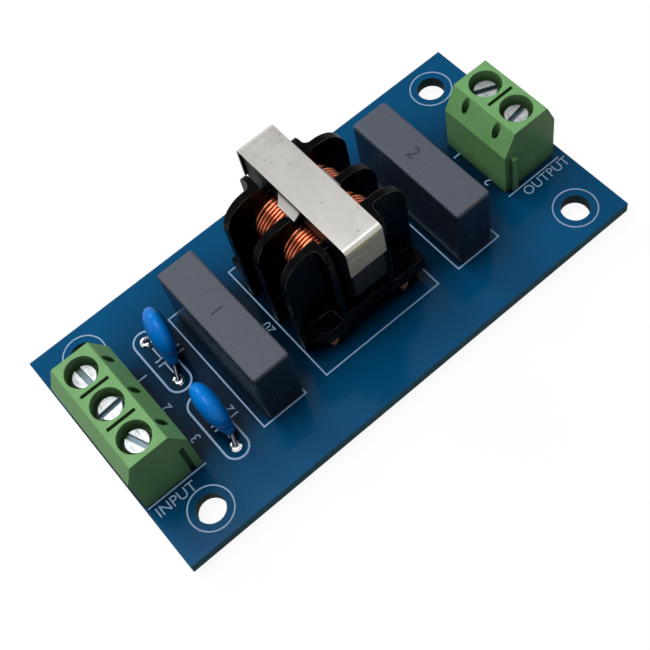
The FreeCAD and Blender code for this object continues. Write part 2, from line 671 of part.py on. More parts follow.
class Disc:
    """A ceramic disc capacitor that stands on its two spread leads."""

    def __init__(self, name):
        """Take the disc's place from the table."""
        self.name = name
        self.x = f"disc_{name}_x"
        self.y = f"disc_{name}_y"
        self.yaw = f"(disc_{name}_yaw * 1 deg)"
        self.lean = f"(disc_{name}_lean * 1 deg)"
        self.centre_z = f"({BOARD_TOP} + disc_centre_high)"

    def tip(self, sign):
        """Where the coated run of one lead ends, in plan."""
        side = f"({sign} disc_run_spread / 2)"
        back = f"(disc_run_end * sin({self.lean}))"
        return (f"({self.x} - {side} * sin({self.yaw}) - {back} * cos({self.yaw}))",
                f"({self.y} + {side} * cos({self.yaw}) - {back} * sin({self.yaw}))")

    def wire(self, sign):
        """One lead: up through the board, across to the disc and up into its coating."""
        pad_y = f"(disc_{self.name}_pads_y {sign} disc_pitch / 2)"
        tip_x, tip_y = self.tip(sign)
        run_x = f"({tip_x} - disc_pad_x)"
        run_y = f"({tip_y} - {pad_y})"
        reach = f"sqrt(pow({run_x}; 2) + pow({run_y}; 2))"
        end = f"({self.centre_z} - disc_run_end)"
        made = body(f"disc_{self.name}_wire_" + ("low" if sign == "-" else "high"))
        section = Drawing(made, level="lead_out").circle("0", "0", "disc_lead / 2")
        path = Drawing(made, "XZ_Plane").trail(
            ("0", "lead_out"), ("0", f"{BOARD_TOP} + disc_lead_rise"), (reach, f"{end} - disc_lead / 4"),
            (reach, f"{end} + disc_lead_inside"))
        pipe = made.newObject("PartDesign::AdditivePipe", "AdditivePipe")
        pipe.Profile = section.sketch
        pipe.Spine = path.sketch
        pipe.Transition = "Right corner"
        place(made, "disc_pad_x", pad_y, "0", f"atan2({run_y}; {run_x})")
        return made

    def build(self):
        """The coated disc and its pair of leads."""
        wires = [self.wire(sign) for sign in "-+"]
        disc = body(f"disc_{self.name}_lens")
        half = Drawing(disc, "XZ_Plane").outline(
            ("-disc_thick / 2", "0"), ("disc_thick / 2", "0"), ("disc_thick / 2", "disc_flat"),
            ("disc_shoulder_thick / 2", "disc_shoulder"), ("disc_rim / 2", "disc_diameter / 2"),
            ("-disc_rim / 2", "disc_diameter / 2"), ("-disc_shoulder_thick / 2", "disc_shoulder"),
            ("-disc_thick / 2", "disc_flat"))
        revolve(disc, half, "H_Axis")
        place(disc, turn=self.lean, axis=ACROSS)
        runs = []
        for sign in "-+":
            run = doc.addObject("Part::Cone", "Run")
            bind(run, Radius1="disc_run_tip", Radius2="disc_run_top", Height="disc_run_end - disc_run_start")
            place(run, f"-disc_run_end * sin({self.lean})", f"0 {sign} disc_run_spread / 2",
                  f"-disc_run_end * cos({self.lean})", self.lean, ACROSS)
            runs.append(run)
        coated = doc.addObject("Part::MultiFuse", "Coated")
        coated.Shapes = [disc] + runs
        place(coated, self.x, self.y, self.centre_z, f"disc_{self.name}_yaw")
        leads = group(f"{self.name}_disc_leads", wires)
        whole = doc.addObject("Part::Cut", "DiscBody")
        whole.Base = coated
        whole.Tool = leads
        whole.Label = f"{self.name}_disc_capacitor"
        doc.recompute()
        return [whole, leads]


CORE_MIDDLE = "(core_rise + core_leg / 2)"
BORE_HALF = "(core_width / 2 + bobbin_bore_play)"
BORE_LOW = "(core_rise - bobbin_bore_play)"
BORE_HIGH = "(core_rise + core_leg + bobbin_bore_play)"
TUBE_HALF = f"({BORE_HALF} + bobbin_tube)"
TUBE_LOW = f"({BORE_LOW} - bobbin_tube)"
TUBE_HIGH = f"({BORE_HIGH} + bobbin_tube)"
FLANGE_STEP = "((2 * bobbin_half - flange_thick) / 2)"


def stand_choke(thing, x="0", y="0", z="0", turn=None):
    """Put a piece that is drawn in the choke's frame on the board."""
    place(thing, f"choke_x + {x}", f"choke_y + {y}", f"{BOARD_TOP} + {z}", turn)


def choke_bobbin():
    """One moulding: a tube with three shouldered flanges, raised end panels, pin rails and cheeks."""
    made = body("choke_bobbin")
    tube = Drawing(made, "XZ_Plane").box(f"-{TUBE_HALF}", TUBE_HALF, TUBE_LOW, TUBE_HIGH, "bobbin_tube_corner")
    pad(made, tube, "2 * bobbin_half - flange_thick", both=True)

    floor = "(core_rise + core_high - core_leg - notch_play)"
    foot = "(flange_half - flange_foot)"
    shoulder = "(flange_half - flange_round)"
    bend = "(flange_end_high - flange_round)"
    end = Drawing(made, "XZ_Plane", level="bobbin_half").outline(
        ("-flange_half", "0"), (f"-{foot}", "0"), (f"-{foot}", "flange_relief"), (foot, "flange_relief"),
        (foot, "0"), ("flange_half", "0"), ("flange_half", bend, "flange_round", 1),
        (shoulder, "flange_end_high"), ("notch_half", "flange_end_high"), ("notch_half", floor),
        ("-notch_half", floor), ("-notch_half", "flange_end_high"),
        (f"-{shoulder}", "flange_end_high", "flange_round", 1), ("-flange_half", bend))
    plate = pad(made, end, "flange_thick", back=True)
    repeat(made, [plate], f"2 * {FLANGE_STEP}", 2)
    bend = "(flange_mid_high - flange_round)"
    mid = Drawing(made, "XZ_Plane").outline(
        ("-flange_half", "0"), (f"-{foot}", "0"), (f"-{foot}", "flange_relief"), (foot, "flange_relief"),
        (foot, "0"), ("flange_half", "0"), ("flange_half", bend, "flange_round", 1),
        (shoulder, "flange_mid_high"), ("notch_half", "flange_mid_high"), ("notch_half", floor),
        ("-notch_half", floor), ("-notch_half", "flange_mid_high"),
        (f"-{shoulder}", "flange_mid_high", "flange_round", 1), ("-flange_half", bend))
    pad(made, mid, "flange_thick", both=True)

    face = "rail_reach"
    inner = "(bobbin_half - flange_thick / 2)"
    block = "(rail_half - rail_block)"
    front = Drawing(made, level="rail_low").outline(
        ("-rail_half", f"-{inner}"), ("-rail_half", f"-{face} + rail_corner"),
        ("-rail_half + rail_corner", f"-{face}"), (f"-{block}", f"-{face}"),
        (f"-{block}", f"-{face} + rail_recess"), (block, f"-{face} + rail_recess"),
        (block, f"-{face}"), ("rail_half", f"-{face}"), ("rail_half", f"-{inner}"))
    pad(made, front, "rail_high - rail_low")
    rear = Drawing(made, level="rail_low").outline(
        ("-rail_half", inner), ("rail_half", inner), ("rail_half", face), (block, face),
        (block, f"{face} - rail_recess"), (f"-{block}", f"{face} - rail_recess"),
        (f"-{block}", face), ("-rail_half", face))
    pad(made, rear, "rail_high - rail_low")

    cheeks = Drawing(made, level="rail_low")
    side = "(notch_half + cheek_thick)"
    for sx in (-1, 1):
        for sy in (-1, 1):
            cheeks.outline(
                (f"{sx} * notch_half", f"{sy} * {inner}"), (f"{sx} * notch_half", f"{sy} * cheek_reach"),
                (f"{sx} * {side}", f"{sy} * cheek_reach"),
                (f"{sx} * {side}", f"{sy} * (bobbin_half + cheek_root)", "cheek_root", sx * sy),
                (f"{sx} * ({side} + cheek_root)", f"{sy} * bobbin_half"),
                (f"{sx} * ({side} + cheek_root)", f"{sy} * {inner}"))
    pad(made, cheeks, "cheek_high - rail_low")
    dress(made, "Fillet", "cheek_round",
          lambda edge: runs_along(edge, 0) and abs(middle(edge).z - value("cheek_high")) < SAME
          and abs(abs(middle(edge).y) - value("cheek_reach")) < SAME)

    pocket(made, Drawing(made, "XZ_Plane").box(f"-{BORE_HALF}", BORE_HALF, BORE_LOW, BORE_HIGH))
    sockets = Drawing(made, level="rail_low")
    for sx in "-+":
        for sy in "-+":
            sockets.circle(f"0 {sx} choke_pin_span_x / 2", f"0 {sy} choke_pin_span_y / 2", "choke_pin / 2")
    pocket(made, sockets, "choke_pin_inside", ahead=True)
    stand_choke(made)
    return made


def choke_core(name, turn):
    """One U-shaped ferrite half: the lower leg runs through the bobbin, the upper one over it."""
    made = body(f"choke_{name}_core")
    top = "(core_rise + core_high)"
    profile = Drawing(made, "YZ_Plane").outline(
        ("-core_half", "core_rise"), ("0", "core_rise"), ("0", "core_rise + core_leg"),
        ("-core_half + core_yoke", "core_rise + core_leg"), ("-core_half + core_yoke", f"{top} - core_leg"),
        ("0", f"{top} - core_leg"), ("0", top), ("-core_half", top))
    pad(made, profile, "core_width", both=True)
    dress(made, "Fillet", "core_corner",
          lambda edge: runs_along(edge, 0) and abs(middle(edge).y + value("core_half")) < SAME)
    stand_choke(made, turn=turn)
    return made


def choke_winding(name, centre):
    """One winding: grooved turns side by side round the tube, the last ones a layer lower."""
    made = body(f"choke_{name}_winding")
    width = f"({FLANGE_STEP} - flange_thick - 2 * winding_play)"
    ring = Drawing(made, "XZ_Plane").box(f"-{TUBE_HALF}", TUBE_HALF, TUBE_LOW, TUBE_HIGH, "bobbin_tube_corner")
    crest = f"({TUBE_HIGH} + winding_build)"
    valley = f"({crest} - turn_groove)"
    low = f"({crest} - winding_step)"
    start = f"(-{width} / 2)"
    last = f"({start} + {OUTER_TURNS} * turn_pitch)"
    corners = [(start, TUBE_HIGH), (f"{width} / 2", TUBE_HIGH), (f"{width} / 2", low), (last, low)]
    for turn in range(OUTER_TURNS, 0, -1):
        corners.append((f"({start} + {turn} * turn_pitch)", valley))
        corners.append((f"({start} + ({turn} - 1 / 2) * turn_pitch)", crest))
    corners.append((start, valley))
    section = Drawing(made, "YZ_Plane").outline(*corners)
    pipe = made.newObject("PartDesign::AdditivePipe", "AdditivePipe")
    pipe.Profile = section.sketch
    pipe.Spine = ring.sketch
    pipe.Transition = "Round corner"
    doc.recompute()
    stand_choke(made, y=centre)
    return made


def choke_clip():
    """The spring clip: one folded strip over both cores, with a lip on each yoke and two side tabs."""
    made = body("choke_clip")
    top = "(core_rise + core_high + clip_thick)"
    under = "(core_rise + core_high)"
    outer = "(core_half + clip_thick)"
    inner_bend = "(clip_bend - clip_thick)"
    low = f"({top} - clip_lip)"
    strip = Drawing(made, "YZ_Plane").outline(
        (f"-{outer}", low), ("-core_half", low), ("-core_half", f"{under} - {inner_bend}", inner_bend, -1),
        (f"-core_half + {inner_bend}", under), (f"core_half - {inner_bend}", under, inner_bend, -1),
        ("core_half", f"{under} - {inner_bend}"), ("core_half", low), (outer, low),
        (outer, f"{top} - clip_bend", "clip_bend", 1), (f"{outer} - clip_bend", top),
        (f"-{outer} + clip_bend", top, "clip_bend", 1), (f"-{outer}", f"{top} - clip_bend"))
    pad(made, strip, "core_width + 2 * clip_thick", both=True)
    for level, back in (("core_width / 2", False), ("-core_width / 2", True)):
        tab = Drawing(made, "YZ_Plane", level=level).outline(
            ("-clip_tab_low / 2", f"{top} - clip_tab_deep"), ("clip_tab_low / 2", f"{top} - clip_tab_deep"),
            ("clip_tab_top / 2", under), ("-clip_tab_top / 2", under))
        pad(made, tab, "clip_thick", back=back)
    stand_choke(made)
    return made


def choke_pins():
    """The four round pins of the choke."""
    high = f"{BOARD_TOP} + rail_low + choke_pin_inside"
    return group("choke_pins", [rod("choke_pin / 2", "lead_out", high, pin_x, pin_y) for pin_x, pin_y in CHOKE_PINS])


def solder_joints():
    """A cone of solder under each lead, down from the board to its tip."""
    slant = "atan((solder_foot - solder_tip) / lead_out)"
    made = columns(eyelets("solder_feet", "solder_foot", "lead_out"), "lead_out", f"-{slant}")
    made.Label = "solder_joints"
    return made


parts = [circuit_board()]
for side in POLES:
    parts.append(terminal_housing(side))
    parts.append(contact_pins(side))
    for number in range(POLES[side]):
        parts.append(terminal_screw(side, number))
        parts.append(terminal_clamp(side, number))
    parts += [film_case(side), film_potting(side), film_leads(side)]
for name in ("far", "near"):
    parts += Disc(name).build()
parts.append(choke_bobbin())
parts += [choke_core("front", "0"), choke_core("rear", "180")]
parts += [choke_winding("front", f"(-{FLANGE_STEP} / 2)"), choke_winding("rear", f"({FLANGE_STEP} / 2)")]
parts += [choke_clip(), choke_pins(), solder_joints()]
doc.recompute()

for item in doc.Objects:
    if "Invalid" in item.State or "Error" in item.State:
        raise RuntimeError(f"{item.Name} ({item.Label}): {item.State}")
for part in parts:
    if part.Shape.isNull() or not part.Shape.isValid() or not part.Shape.Solids:
        raise RuntimeError(f"{part.Label}: no valid solid")

os.makedirs("parts", exist_ok=True)
for part in parts:
    part.Shape.exportStep(os.path.join("parts", part.Label + ".step"))
    box = part.Shape.BoundBox
    print(f"{part.Label:26s} {len(part.Shape.Solids)} solids {part.Shape.Volume:9.2f} mm3  "
          f"x {box.XMin:7.2f}..{box.XMax:6.2f}  y {box.YMin:7.2f}..{box.YMax:6.2f}  z {box.ZMin:5.2f}..{box.ZMax:5.2f}")
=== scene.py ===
"""Looks of an EMI line filter on a small circuit board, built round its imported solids.

All lengths and places are in millimetres, in the frame of the solids, and become metres in each mesh.
"""

import logging
import math
from dataclasses import dataclass
from enum import Enum

import bmesh
import bpy
import numpy as np
from mathutils import Matrix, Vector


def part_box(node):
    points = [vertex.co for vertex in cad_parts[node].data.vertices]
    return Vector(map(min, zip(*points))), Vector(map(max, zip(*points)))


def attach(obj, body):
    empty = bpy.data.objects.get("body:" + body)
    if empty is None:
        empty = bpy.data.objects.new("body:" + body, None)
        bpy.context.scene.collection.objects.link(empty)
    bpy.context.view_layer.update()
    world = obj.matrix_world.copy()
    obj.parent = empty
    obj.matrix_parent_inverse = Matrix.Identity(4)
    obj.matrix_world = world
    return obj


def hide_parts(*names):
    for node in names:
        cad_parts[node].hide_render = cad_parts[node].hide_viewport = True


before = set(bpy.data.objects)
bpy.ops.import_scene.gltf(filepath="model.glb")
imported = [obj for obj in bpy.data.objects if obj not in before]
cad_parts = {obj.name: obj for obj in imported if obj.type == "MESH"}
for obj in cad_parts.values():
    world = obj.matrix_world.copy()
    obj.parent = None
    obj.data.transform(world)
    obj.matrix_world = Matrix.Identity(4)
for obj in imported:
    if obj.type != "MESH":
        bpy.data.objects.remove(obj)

MM = 0.001
BOARD_TOP = 3.4
BOARD_LOW = 1.8
DISC_PAD_X = -20.48
FULL_TURN = 2 * math.pi
QUARTER_TURN = math.pi / 2
NOISE_ROUGH = 0.55
WAVES_PER_MM = 0.314
FONT_CAPITAL = 0.7
BODY = "base"
Rgb = tuple[int, int, int]
Rgba = tuple[float, float, float, float]
Point = tuple[float, float, float]
Array = np.ndarray
Socket = bpy.types.NodeSocket
Mesh = bpy.types.Mesh
Material = bpy.types.Material

log = logging.getLogger("line_filter")


class Side(Enum):
    """The two ends of the filter."""

    INPUT = "input"
    OUTPUT = "output"


def linear(colour: Rgb) -> Rgba:
    """Turn a display colour of 0 to 255 into the linear colour that shaders use.

    Args:
        colour: Red, green and blue as they look on a screen.

    Returns:
        Linear red, green, blue and an alpha of one.
    """
    share = np.array(colour, float) / 255
    low = share / 12.92
    high = ((share + 0.055) / 1.055) ** 2.4
    red, green, blue = np.where(share <= 0.04045, low, high)
    return float(red), float(green), float(blue), 1.0


class Graph:
    """The node tree of a material or world, with short ways to add the nodes that the finishes share."""

    def __init__(self, owner: Material | bpy.types.World) -> None:
        """Start from the owner's own shader.

        Args:
            owner: The new material or world.
        """
        owner.use_nodes = True
        self.owner = owner
        self.tree = owner.node_tree
        self.shader = self.tree.nodes.get("Principled BSDF") or self.tree.nodes["Background"]

    def node(self, kind: str, inputs: dict | None = None, **settings: object) -> bpy.types.Node:
        """Add a node and fill its sockets.

        Args:
            kind: The node's type.
            inputs: Socket name or number to a value or another node's output.
            settings: The node's own properties.

        Returns:
            The new node.
        """
        made = self.tree.nodes.new(kind)
        for key, setting in settings.items():
            setattr(made, key, setting)
        for key, entry in (inputs or {}).items():
            self.feed(made.inputs[key], entry)
        return made

    def feed(self, socket: Socket, entry: object) -> None:
        """Link an output to a socket, or set the socket's own value.

        Args:
            socket: The socket to fill.
            entry: An output socket or a plain value.
        """
        if isinstance(entry, Socket):
            self.tree.links.new(entry, socket)
        else:
            socket.default_value = entry

    def give(self, name: str, entry: object) -> None:
        """Fill one of the shader's own sockets.

        Args:
            name: The socket's name.
            entry: An output socket or a plain value.
        """
        self.feed(self.shader.inputs[name], entry)

    def reckon(self, operation: str, *values: object) -> Socket:
        """Reckon with one or two values.

        Args:
            operation: The math node's operation.
            values: Its inputs.

        Returns:
            The result.
        """
        return self.node("ShaderNodeMath", dict(enumerate(values)), operation=operation).outputs[0]

    def place(self, scale: Point = (1, 1, 1), centre: Point = (0, 0, 0)) -> Socket:
        """Object coordinates in millimetres about a centre, stretched by a scale.

        Args:
            scale: Factor along each axis.
            centre: The point that becomes the origin.

        Returns:
            The coordinates' output.
        """
        coords = self.node("ShaderNodeTexCoord")
        per = [1000 * factor for factor in scale]
        shift = [-factor * point for factor, point in zip(scale, centre)]
        return self.node("ShaderNodeMapping", {"Vector": coords.outputs["Object"], "Scale": per,
                                               "Location": shift}).outputs["Vector"]

    def noise(self, spot: Socket, size: float, detail: float = 3.0) -> Socket:
        """Soft noise whose lumps are about a given size across.

        Args:
            spot: Coordinates.
            size: Size of the lumps.
            detail: How many finer layers it has.

        Returns:
            The noise between zero and one.
        """
        return self.node("ShaderNodeTexNoise", {"Vector": spot, "Scale": 1 / size, "Detail": detail,
                                                "Roughness": NOISE_ROUGH}).outputs[0]

    def range(self, entry: Socket, low: float, high: float, to_low: float = 0.0, to_high: float = 1.0) -> Socket:
        """Carry a value from one range into another, held at the ends.

        Args:
            entry: The value.
            low: Start of its range.
            high: End of its range.
            to_low: What the start becomes.
            to_high: What the end becomes.

        Returns:
            The new value.
        """
        made = self.node("ShaderNodeMapRange", {"Value": entry, "From Min": low, "From Max": high,
                                                "To Min": to_low, "To Max": to_high})
        return made.outputs["Result"]

    def mix(self, share: Socket, first: object, second: object) -> Socket:
        """Blend two colours by a share.

        Args:
            share: Zero for the first colour, one for the second.
            first: The first colour or output.
            second: The second colour or output.

        Returns:
            The blended colour.
        """
        made = self.node("ShaderNodeMix", data_type="RGBA")
        self.feed(made.inputs[0], share)
        self.feed(made.inputs[6], first)
        self.feed(made.inputs[7], second)
        return made.outputs[2]

    def part(self, vector: Socket, axis: str) -> Socket:
        """One part of a vector.

        Args:
            vector: The vector.
            axis: X, Y or Z.

        Returns:
            The part.
        """
        return self.node("ShaderNodeSeparateXYZ", {"Vector": vector}).outputs[axis]

    def upward(self) -> Socket:
        """How far the surface faces up: one on top, zero on an upright face, minus one below."""
        geometry = self.node("ShaderNodeNewGeometry")
        return self.part(geometry.outputs["Normal"], "Z")

    def bump(self, height: Socket, depth: float, edge: float = 0.0) -> None:
        """Give the shader a relief, on edges that catch the light as if rounded.

        Args:
            height: The relief, zero to one.
            depth: Its depth.
            edge: Radius of the rounding, zero for none.
        """
        made = self.node("ShaderNodeBump", {"Height": height, "Distance": depth * MM})
        if edge > 0:
            rounded = self.node("ShaderNodeBevel", {"Radius": edge * MM}, samples=6)
            self.feed(made.inputs["Normal"], rounded.outputs["Normal"])
        self.give("Normal", made.outputs["Normal"])

    def painted_corner_shade(self, colour: Socket, reach: float, depth: float) -> Socket:
        """Painted shade: a colour that darkens in corners and under parts, where shade falls.

        Args:
            colour: The colour in the open.
            reach: How far a neighbour acts.
            depth: What the deepest corner multiplies the colour by.

        Returns:
            The colour.
        """
        near = self.node("ShaderNodeAmbientOcclusion", {"Distance": reach * MM}, samples=8)
        share = self.range(near.outputs["AO"], 0.42, 0.98, depth, 1.0)
        return self.node("ShaderNodeVectorMath", {0: colour, "Scale": share}, operation="SCALE").outputs[0]

    def edges(self, radius: float) -> Socket:
        """How near an edge the surface is: zero on a face, one at its edges.

        Args:
            radius: How far in from an edge it starts.

        Returns:
            The share.
        """
        rounded = self.node("ShaderNodeBevel", {"Radius": radius * MM}, samples=6)
        plain = self.node("ShaderNodeNewGeometry")
        along = self.node("ShaderNodeVectorMath", {0: rounded.outputs["Normal"], 1: plain.outputs["Normal"]},
                          operation="DOT_PRODUCT")
        return self.range(along.outputs["Value"], 0.8, 0.99, 1.0, 0.0)


@dataclass(frozen=True)
class Finish:
    """A surface finish with a fine grain: the base of all finishes."""

    name: str
    colour: Rgb
    rough: float
    metal: float = 0.0
    coat: float = 0.0
    coat_rough: float = 0.05
    grain: float = 0.2
    tint: float = 0.12
    relief: float = 0.004
    specular: float = 0.5
    edge_round: float = 0.0
    # Colour of a painted highlight along the edges, made patchy by noise, and how far in from an edge it reaches;
    # none when None.
    edge_highlight: Rgb | None = None
    highlight_wide: float = 0.13
    # Reach and depth of the painted shade in corners and under parts; none when the reach is zero.
    shade_reach: float = 0.0
    shade_depth: float = 0.4

    def material(self) -> Material:
        """Build the finish once and hand out the same material afterwards."""
        known = bpy.data.materials.get(self.name)
        return known if known is not None else self.build()

    def start(self) -> Graph:
        """A graph whose constant values are set on the shader's own sockets."""
        graph = Graph(bpy.data.materials.new(self.name))
        for name, value in (("Base Color", linear(self.colour)), ("Roughness", self.rough),
                            ("Metallic", self.metal), ("Coat Weight", self.coat),
                            ("Coat Roughness", self.coat_rough), ("Specular IOR Level", self.specular)):
            graph.give(name, value)
        return graph

    def shade(self, factor: float) -> Rgba:
        """The finish's own colour made darker or lighter.

        Args:
            factor: What the display colour is multiplied by.

        Returns:
            The linear colour.
        """
        return linear(tuple(int(min(255, channel * factor)) for channel in self.colour))

    def build(self) -> Material:
        """Colour that varies with the grain, with a matching relief, a painted highlight along the edges and
        painted shade in corners and under parts.
        """
        graph = self.start()
        fine = graph.noise(graph.place(), self.grain)
        cloudy = graph.noise(graph.place(), self.grain * 14, 2.0)
        share = graph.range(graph.reckon("ADD", fine, cloudy), 0.7, 1.3)
        plain = graph.mix(share, self.shade(1 - self.tint), self.shade(1 + self.tint))
        # Painted highlight: the edge highlight colour, broken up by noise, stands in for light caught on the edges.
        if self.edge_highlight is not None:
            patchy = graph.range(graph.noise(graph.place(), 1.7, 2.0), 0.4, 0.62)
            edge = graph.reckon("MULTIPLY", graph.edges(self.highlight_wide), patchy)
            plain = graph.mix(edge, plain, linear(self.edge_highlight))
        # Painted shade in corners and under parts.
        if self.shade_reach > 0:
            plain = graph.painted_corner_shade(plain, self.shade_reach, self.shade_depth)
        graph.give("Base Color", plain)
        graph.give("Roughness", graph.range(cloudy, 0.3, 0.7, self.rough * 0.88, min(1.0, self.rough * 1.12)))
        graph.bump(fine, self.relief, self.edge_round)
        return graph.owner


@dataclass(frozen=True)
class SolderMask(Finish):
    """Glossy mask over woven glass on the faces, and the bare cut laminate on the edges."""

    edge: Rgb = (62, 172, 204)
    ply_shade: float = 0.45
    edge_rough: float = 0.6
    weave: float = 0.45

    def build(self) -> Material:
        """Mix the mask and the cut edge by how far the surface faces up or down."""
        graph = self.start()
        spot = graph.place()
        cloudy = graph.noise(spot, 9.0, 3.0)
        mask = graph.mix(graph.range(cloudy, 0.3, 0.7), self.shade(1 - self.tint), self.shade(1 + self.tint))
        layers = graph.noise(graph.place((0.12, 0.12, 5.0)), 0.8, 4.0)
        dark = linear(tuple(int(channel * self.ply_shade) for channel in self.edge))
        edge = graph.mix(graph.range(layers, 0.35, 0.65), dark, linear(self.edge))
        face = graph.range(graph.reckon("ABSOLUTE", graph.upward()), 0.4, 0.8)
        # Painted shade: the board's colour darkens next to the parts on it and in corners.
        graph.give("Base Color", graph.painted_corner_shade(graph.mix(face, edge, mask), self.shade_reach, self.shade_depth))
        graph.give("Roughness", graph.range(face, 0.0, 1.0, self.edge_rough, self.rough))
        threads = {"Vector": spot, "Scale": WAVES_PER_MM / self.weave, "Distortion": 0.6}
        cloth = [graph.node("ShaderNodeTexWave", threads, bands_direction=axis).outputs["Fac"] for axis in "XY"]
        graph.bump(graph.reckon("ADD", *cloth), self.relief)
        return graph.owner


@dataclass(frozen=True)
class MouldedCase(Finish):
    """A moulded case: its top is sparked to a matt grain and its sides are smoother, and painted darker as shade.
    """

    # The sides' colour, a darker copy of the case's grey: painted shade.
    side: Rgb = (36, 42, 56)
    side_rough: float = 0.22

    def build(self) -> Material:
        """Mix the matt top and the glossy sides, whose darker colour is painted shade, by how far the surface faces
        up.
        """
        graph = self.start()
        spot = graph.place()
        fine = graph.noise(spot, self.grain, 2.0)
        specks = graph.node("ShaderNodeTexVoronoi", {"Vector": spot, "Scale": 1.6 / self.grain}).outputs["Distance"]
        matt = graph.mix(graph.range(fine, 0.35, 0.65), self.shade(1 - self.tint), self.shade(1 + self.tint))
        top = graph.range(graph.upward(), 0.55, 0.95)
        # Painted shade: the sides take the darker side colour.
        graph.give("Base Color", graph.mix(top, linear(self.side), matt))
        graph.give("Roughness", graph.range(top, 0.0, 1.0, self.side_rough, self.rough))
        graph.bump(graph.reckon("MULTIPLY", specks, top), self.relief, self.edge_round)
        return graph.owner


@dataclass(frozen=True)
class RolledSheet(Finish):
    """Satin sheet metal: faint rolling marks, a few dark specks, yellowish patches and painted shade on the bent
    ends and other upright faces, a painted reflection that darkens towards the rear, and tabs painted bright as a
    reflection.
    """

    yellow_patch: Rgb = (150, 146, 118)
    speck: Rgb = (92, 92, 96)
    # Factor for the painted shade on upright faces.
    upright: float = 0.54
    # Factor for the painted reflection at the rear end.
    rear: float = 0.9
    length: float = 18.4
    middle_x: float = 0.98
    half_width: float = 2.42
    # Metallic of the tabs, low so that their pale colour shows as a painted reflection.
    painted_tab_metal: float = 0.15

    def build(self) -> Material:
        """A base with a painted reflection that pales towards the front and painted shade on upright faces, and the
        tabs past its edges painted pale as a reflection.
        """
        graph = self.start()
        spot = graph.place()
        marks = graph.noise(graph.place((6.0, 0.5, 6.0)), 2.0, 2.0)
        cells = graph.node("ShaderNodeTexVoronoi", {"Vector": spot, "Scale": 0.9}).outputs["Distance"]
        specks = graph.range(cells, 0.05, 0.085, 1.0, 0.0)
        # Painted reflection: the colour darkens from the front towards the rear.
        forward = graph.range(graph.part(spot, "Y"), -self.length / 2, self.length / 2)
        flat = graph.mix(forward, self.shade(1.0), self.shade(self.rear))
        patchy = graph.mix(graph.range(graph.noise(spot, 2.4), 0.45, 0.6), flat, self.shade(1 - self.tint))
        # Painted shade on upright faces, mixed with yellowish patches.
        facing = graph.range(graph.upward(), 0.3, 0.9)
        yellow_patches = graph.range(graph.noise(graph.place((1.0, 1.0, 2.5)), 1.8, 2.0), 0.42, 0.62)
        side = graph.mix(yellow_patches, self.shade(self.upright), linear(self.yellow_patch))
        aside = graph.reckon("ABSOLUTE", graph.reckon("SUBTRACT", graph.part(spot, "X"), self.middle_x))
        # Painted reflection: past the strip's edges the tabs take the pale base colour and little metal.
        tab = graph.range(aside, self.half_width + 0.02, self.half_width + 0.2)
        plain = graph.mix(tab, graph.mix(facing, side, patchy), self.shade(1.0))
        graph.give("Base Color", graph.mix(specks, plain, linear(self.speck)))
        graph.give("Roughness", graph.range(marks, 0.3, 0.7, self.rough * 0.95, self.rough * 1.05))
        graph.give("Metallic", graph.range(tab, 0.0, 1.0, self.metal, self.painted_tab_metal))
        graph.bump(marks, self.relief, self.edge_round)
        return graph.owner


@dataclass(frozen=True)
class TurnedMetal(Finish):
    """A turned and plated screw head: fine rings about its own axis, and a slot with painted shade on its walls and
    a dull grey floor.
    """

    centre_x: float = 0.0
    centre_y: float = 0.0
    face: float = 12.3
    dull_grey: Rgb = (122, 142, 150)
    # Colour of the slot's walls: painted shade.
    shaded: Rgb = (66, 80, 86)

    def build(self) -> Material:
        """Faint rings about the screw's axis over brush marks and dull grey scratches; the slot's walls are painted
        dark as shade and its floor is dull grey.
        """
        graph = self.start()
        spot = graph.place((1, 1, 0.0), (self.centre_x, self.centre_y, 0.0))
        rings = graph.node("ShaderNodeTexWave", {"Vector": spot, "Scale": 0.75, "Distortion": 0.8, "Detail": 1.0},
                           wave_type="RINGS", rings_direction="SPHERICAL").outputs["Fac"]
        marks = graph.noise(graph.place((0.6, 5.0, 1.0)), 1.1, 2.0)
        bright = graph.mix(graph.range(marks, 0.35, 0.65), self.shade(1 - self.tint), self.shade(1.0))
        # Painted shade: below the head's face the slot's walls take the shaded colour and its floor the dull grey.
        height = graph.part(graph.place(), "Z")
        floor = graph.range(height, self.face - 0.68, self.face - 0.62)
        walls = graph.mix(floor, linear(self.dull_grey), linear(self.shaded))
        depth = graph.range(height, self.face - 0.3, self.face - 0.08)
        scratches = graph.range(graph.noise(graph.place((5.0, 0.6, 1.0)), 1.2, 2.0), 0.56, 0.68, 0.0, 0.75)
        scored = graph.mix(scratches, bright, linear(self.dull_grey))
        graph.give("Base Color", graph.mix(depth, walls, scored))
        graph.give("Roughness", graph.range(marks, 0.3, 0.7, self.rough * 0.9, self.rough * 1.1))
        graph.bump(rings, self.relief, self.edge_round)
        return graph.owner


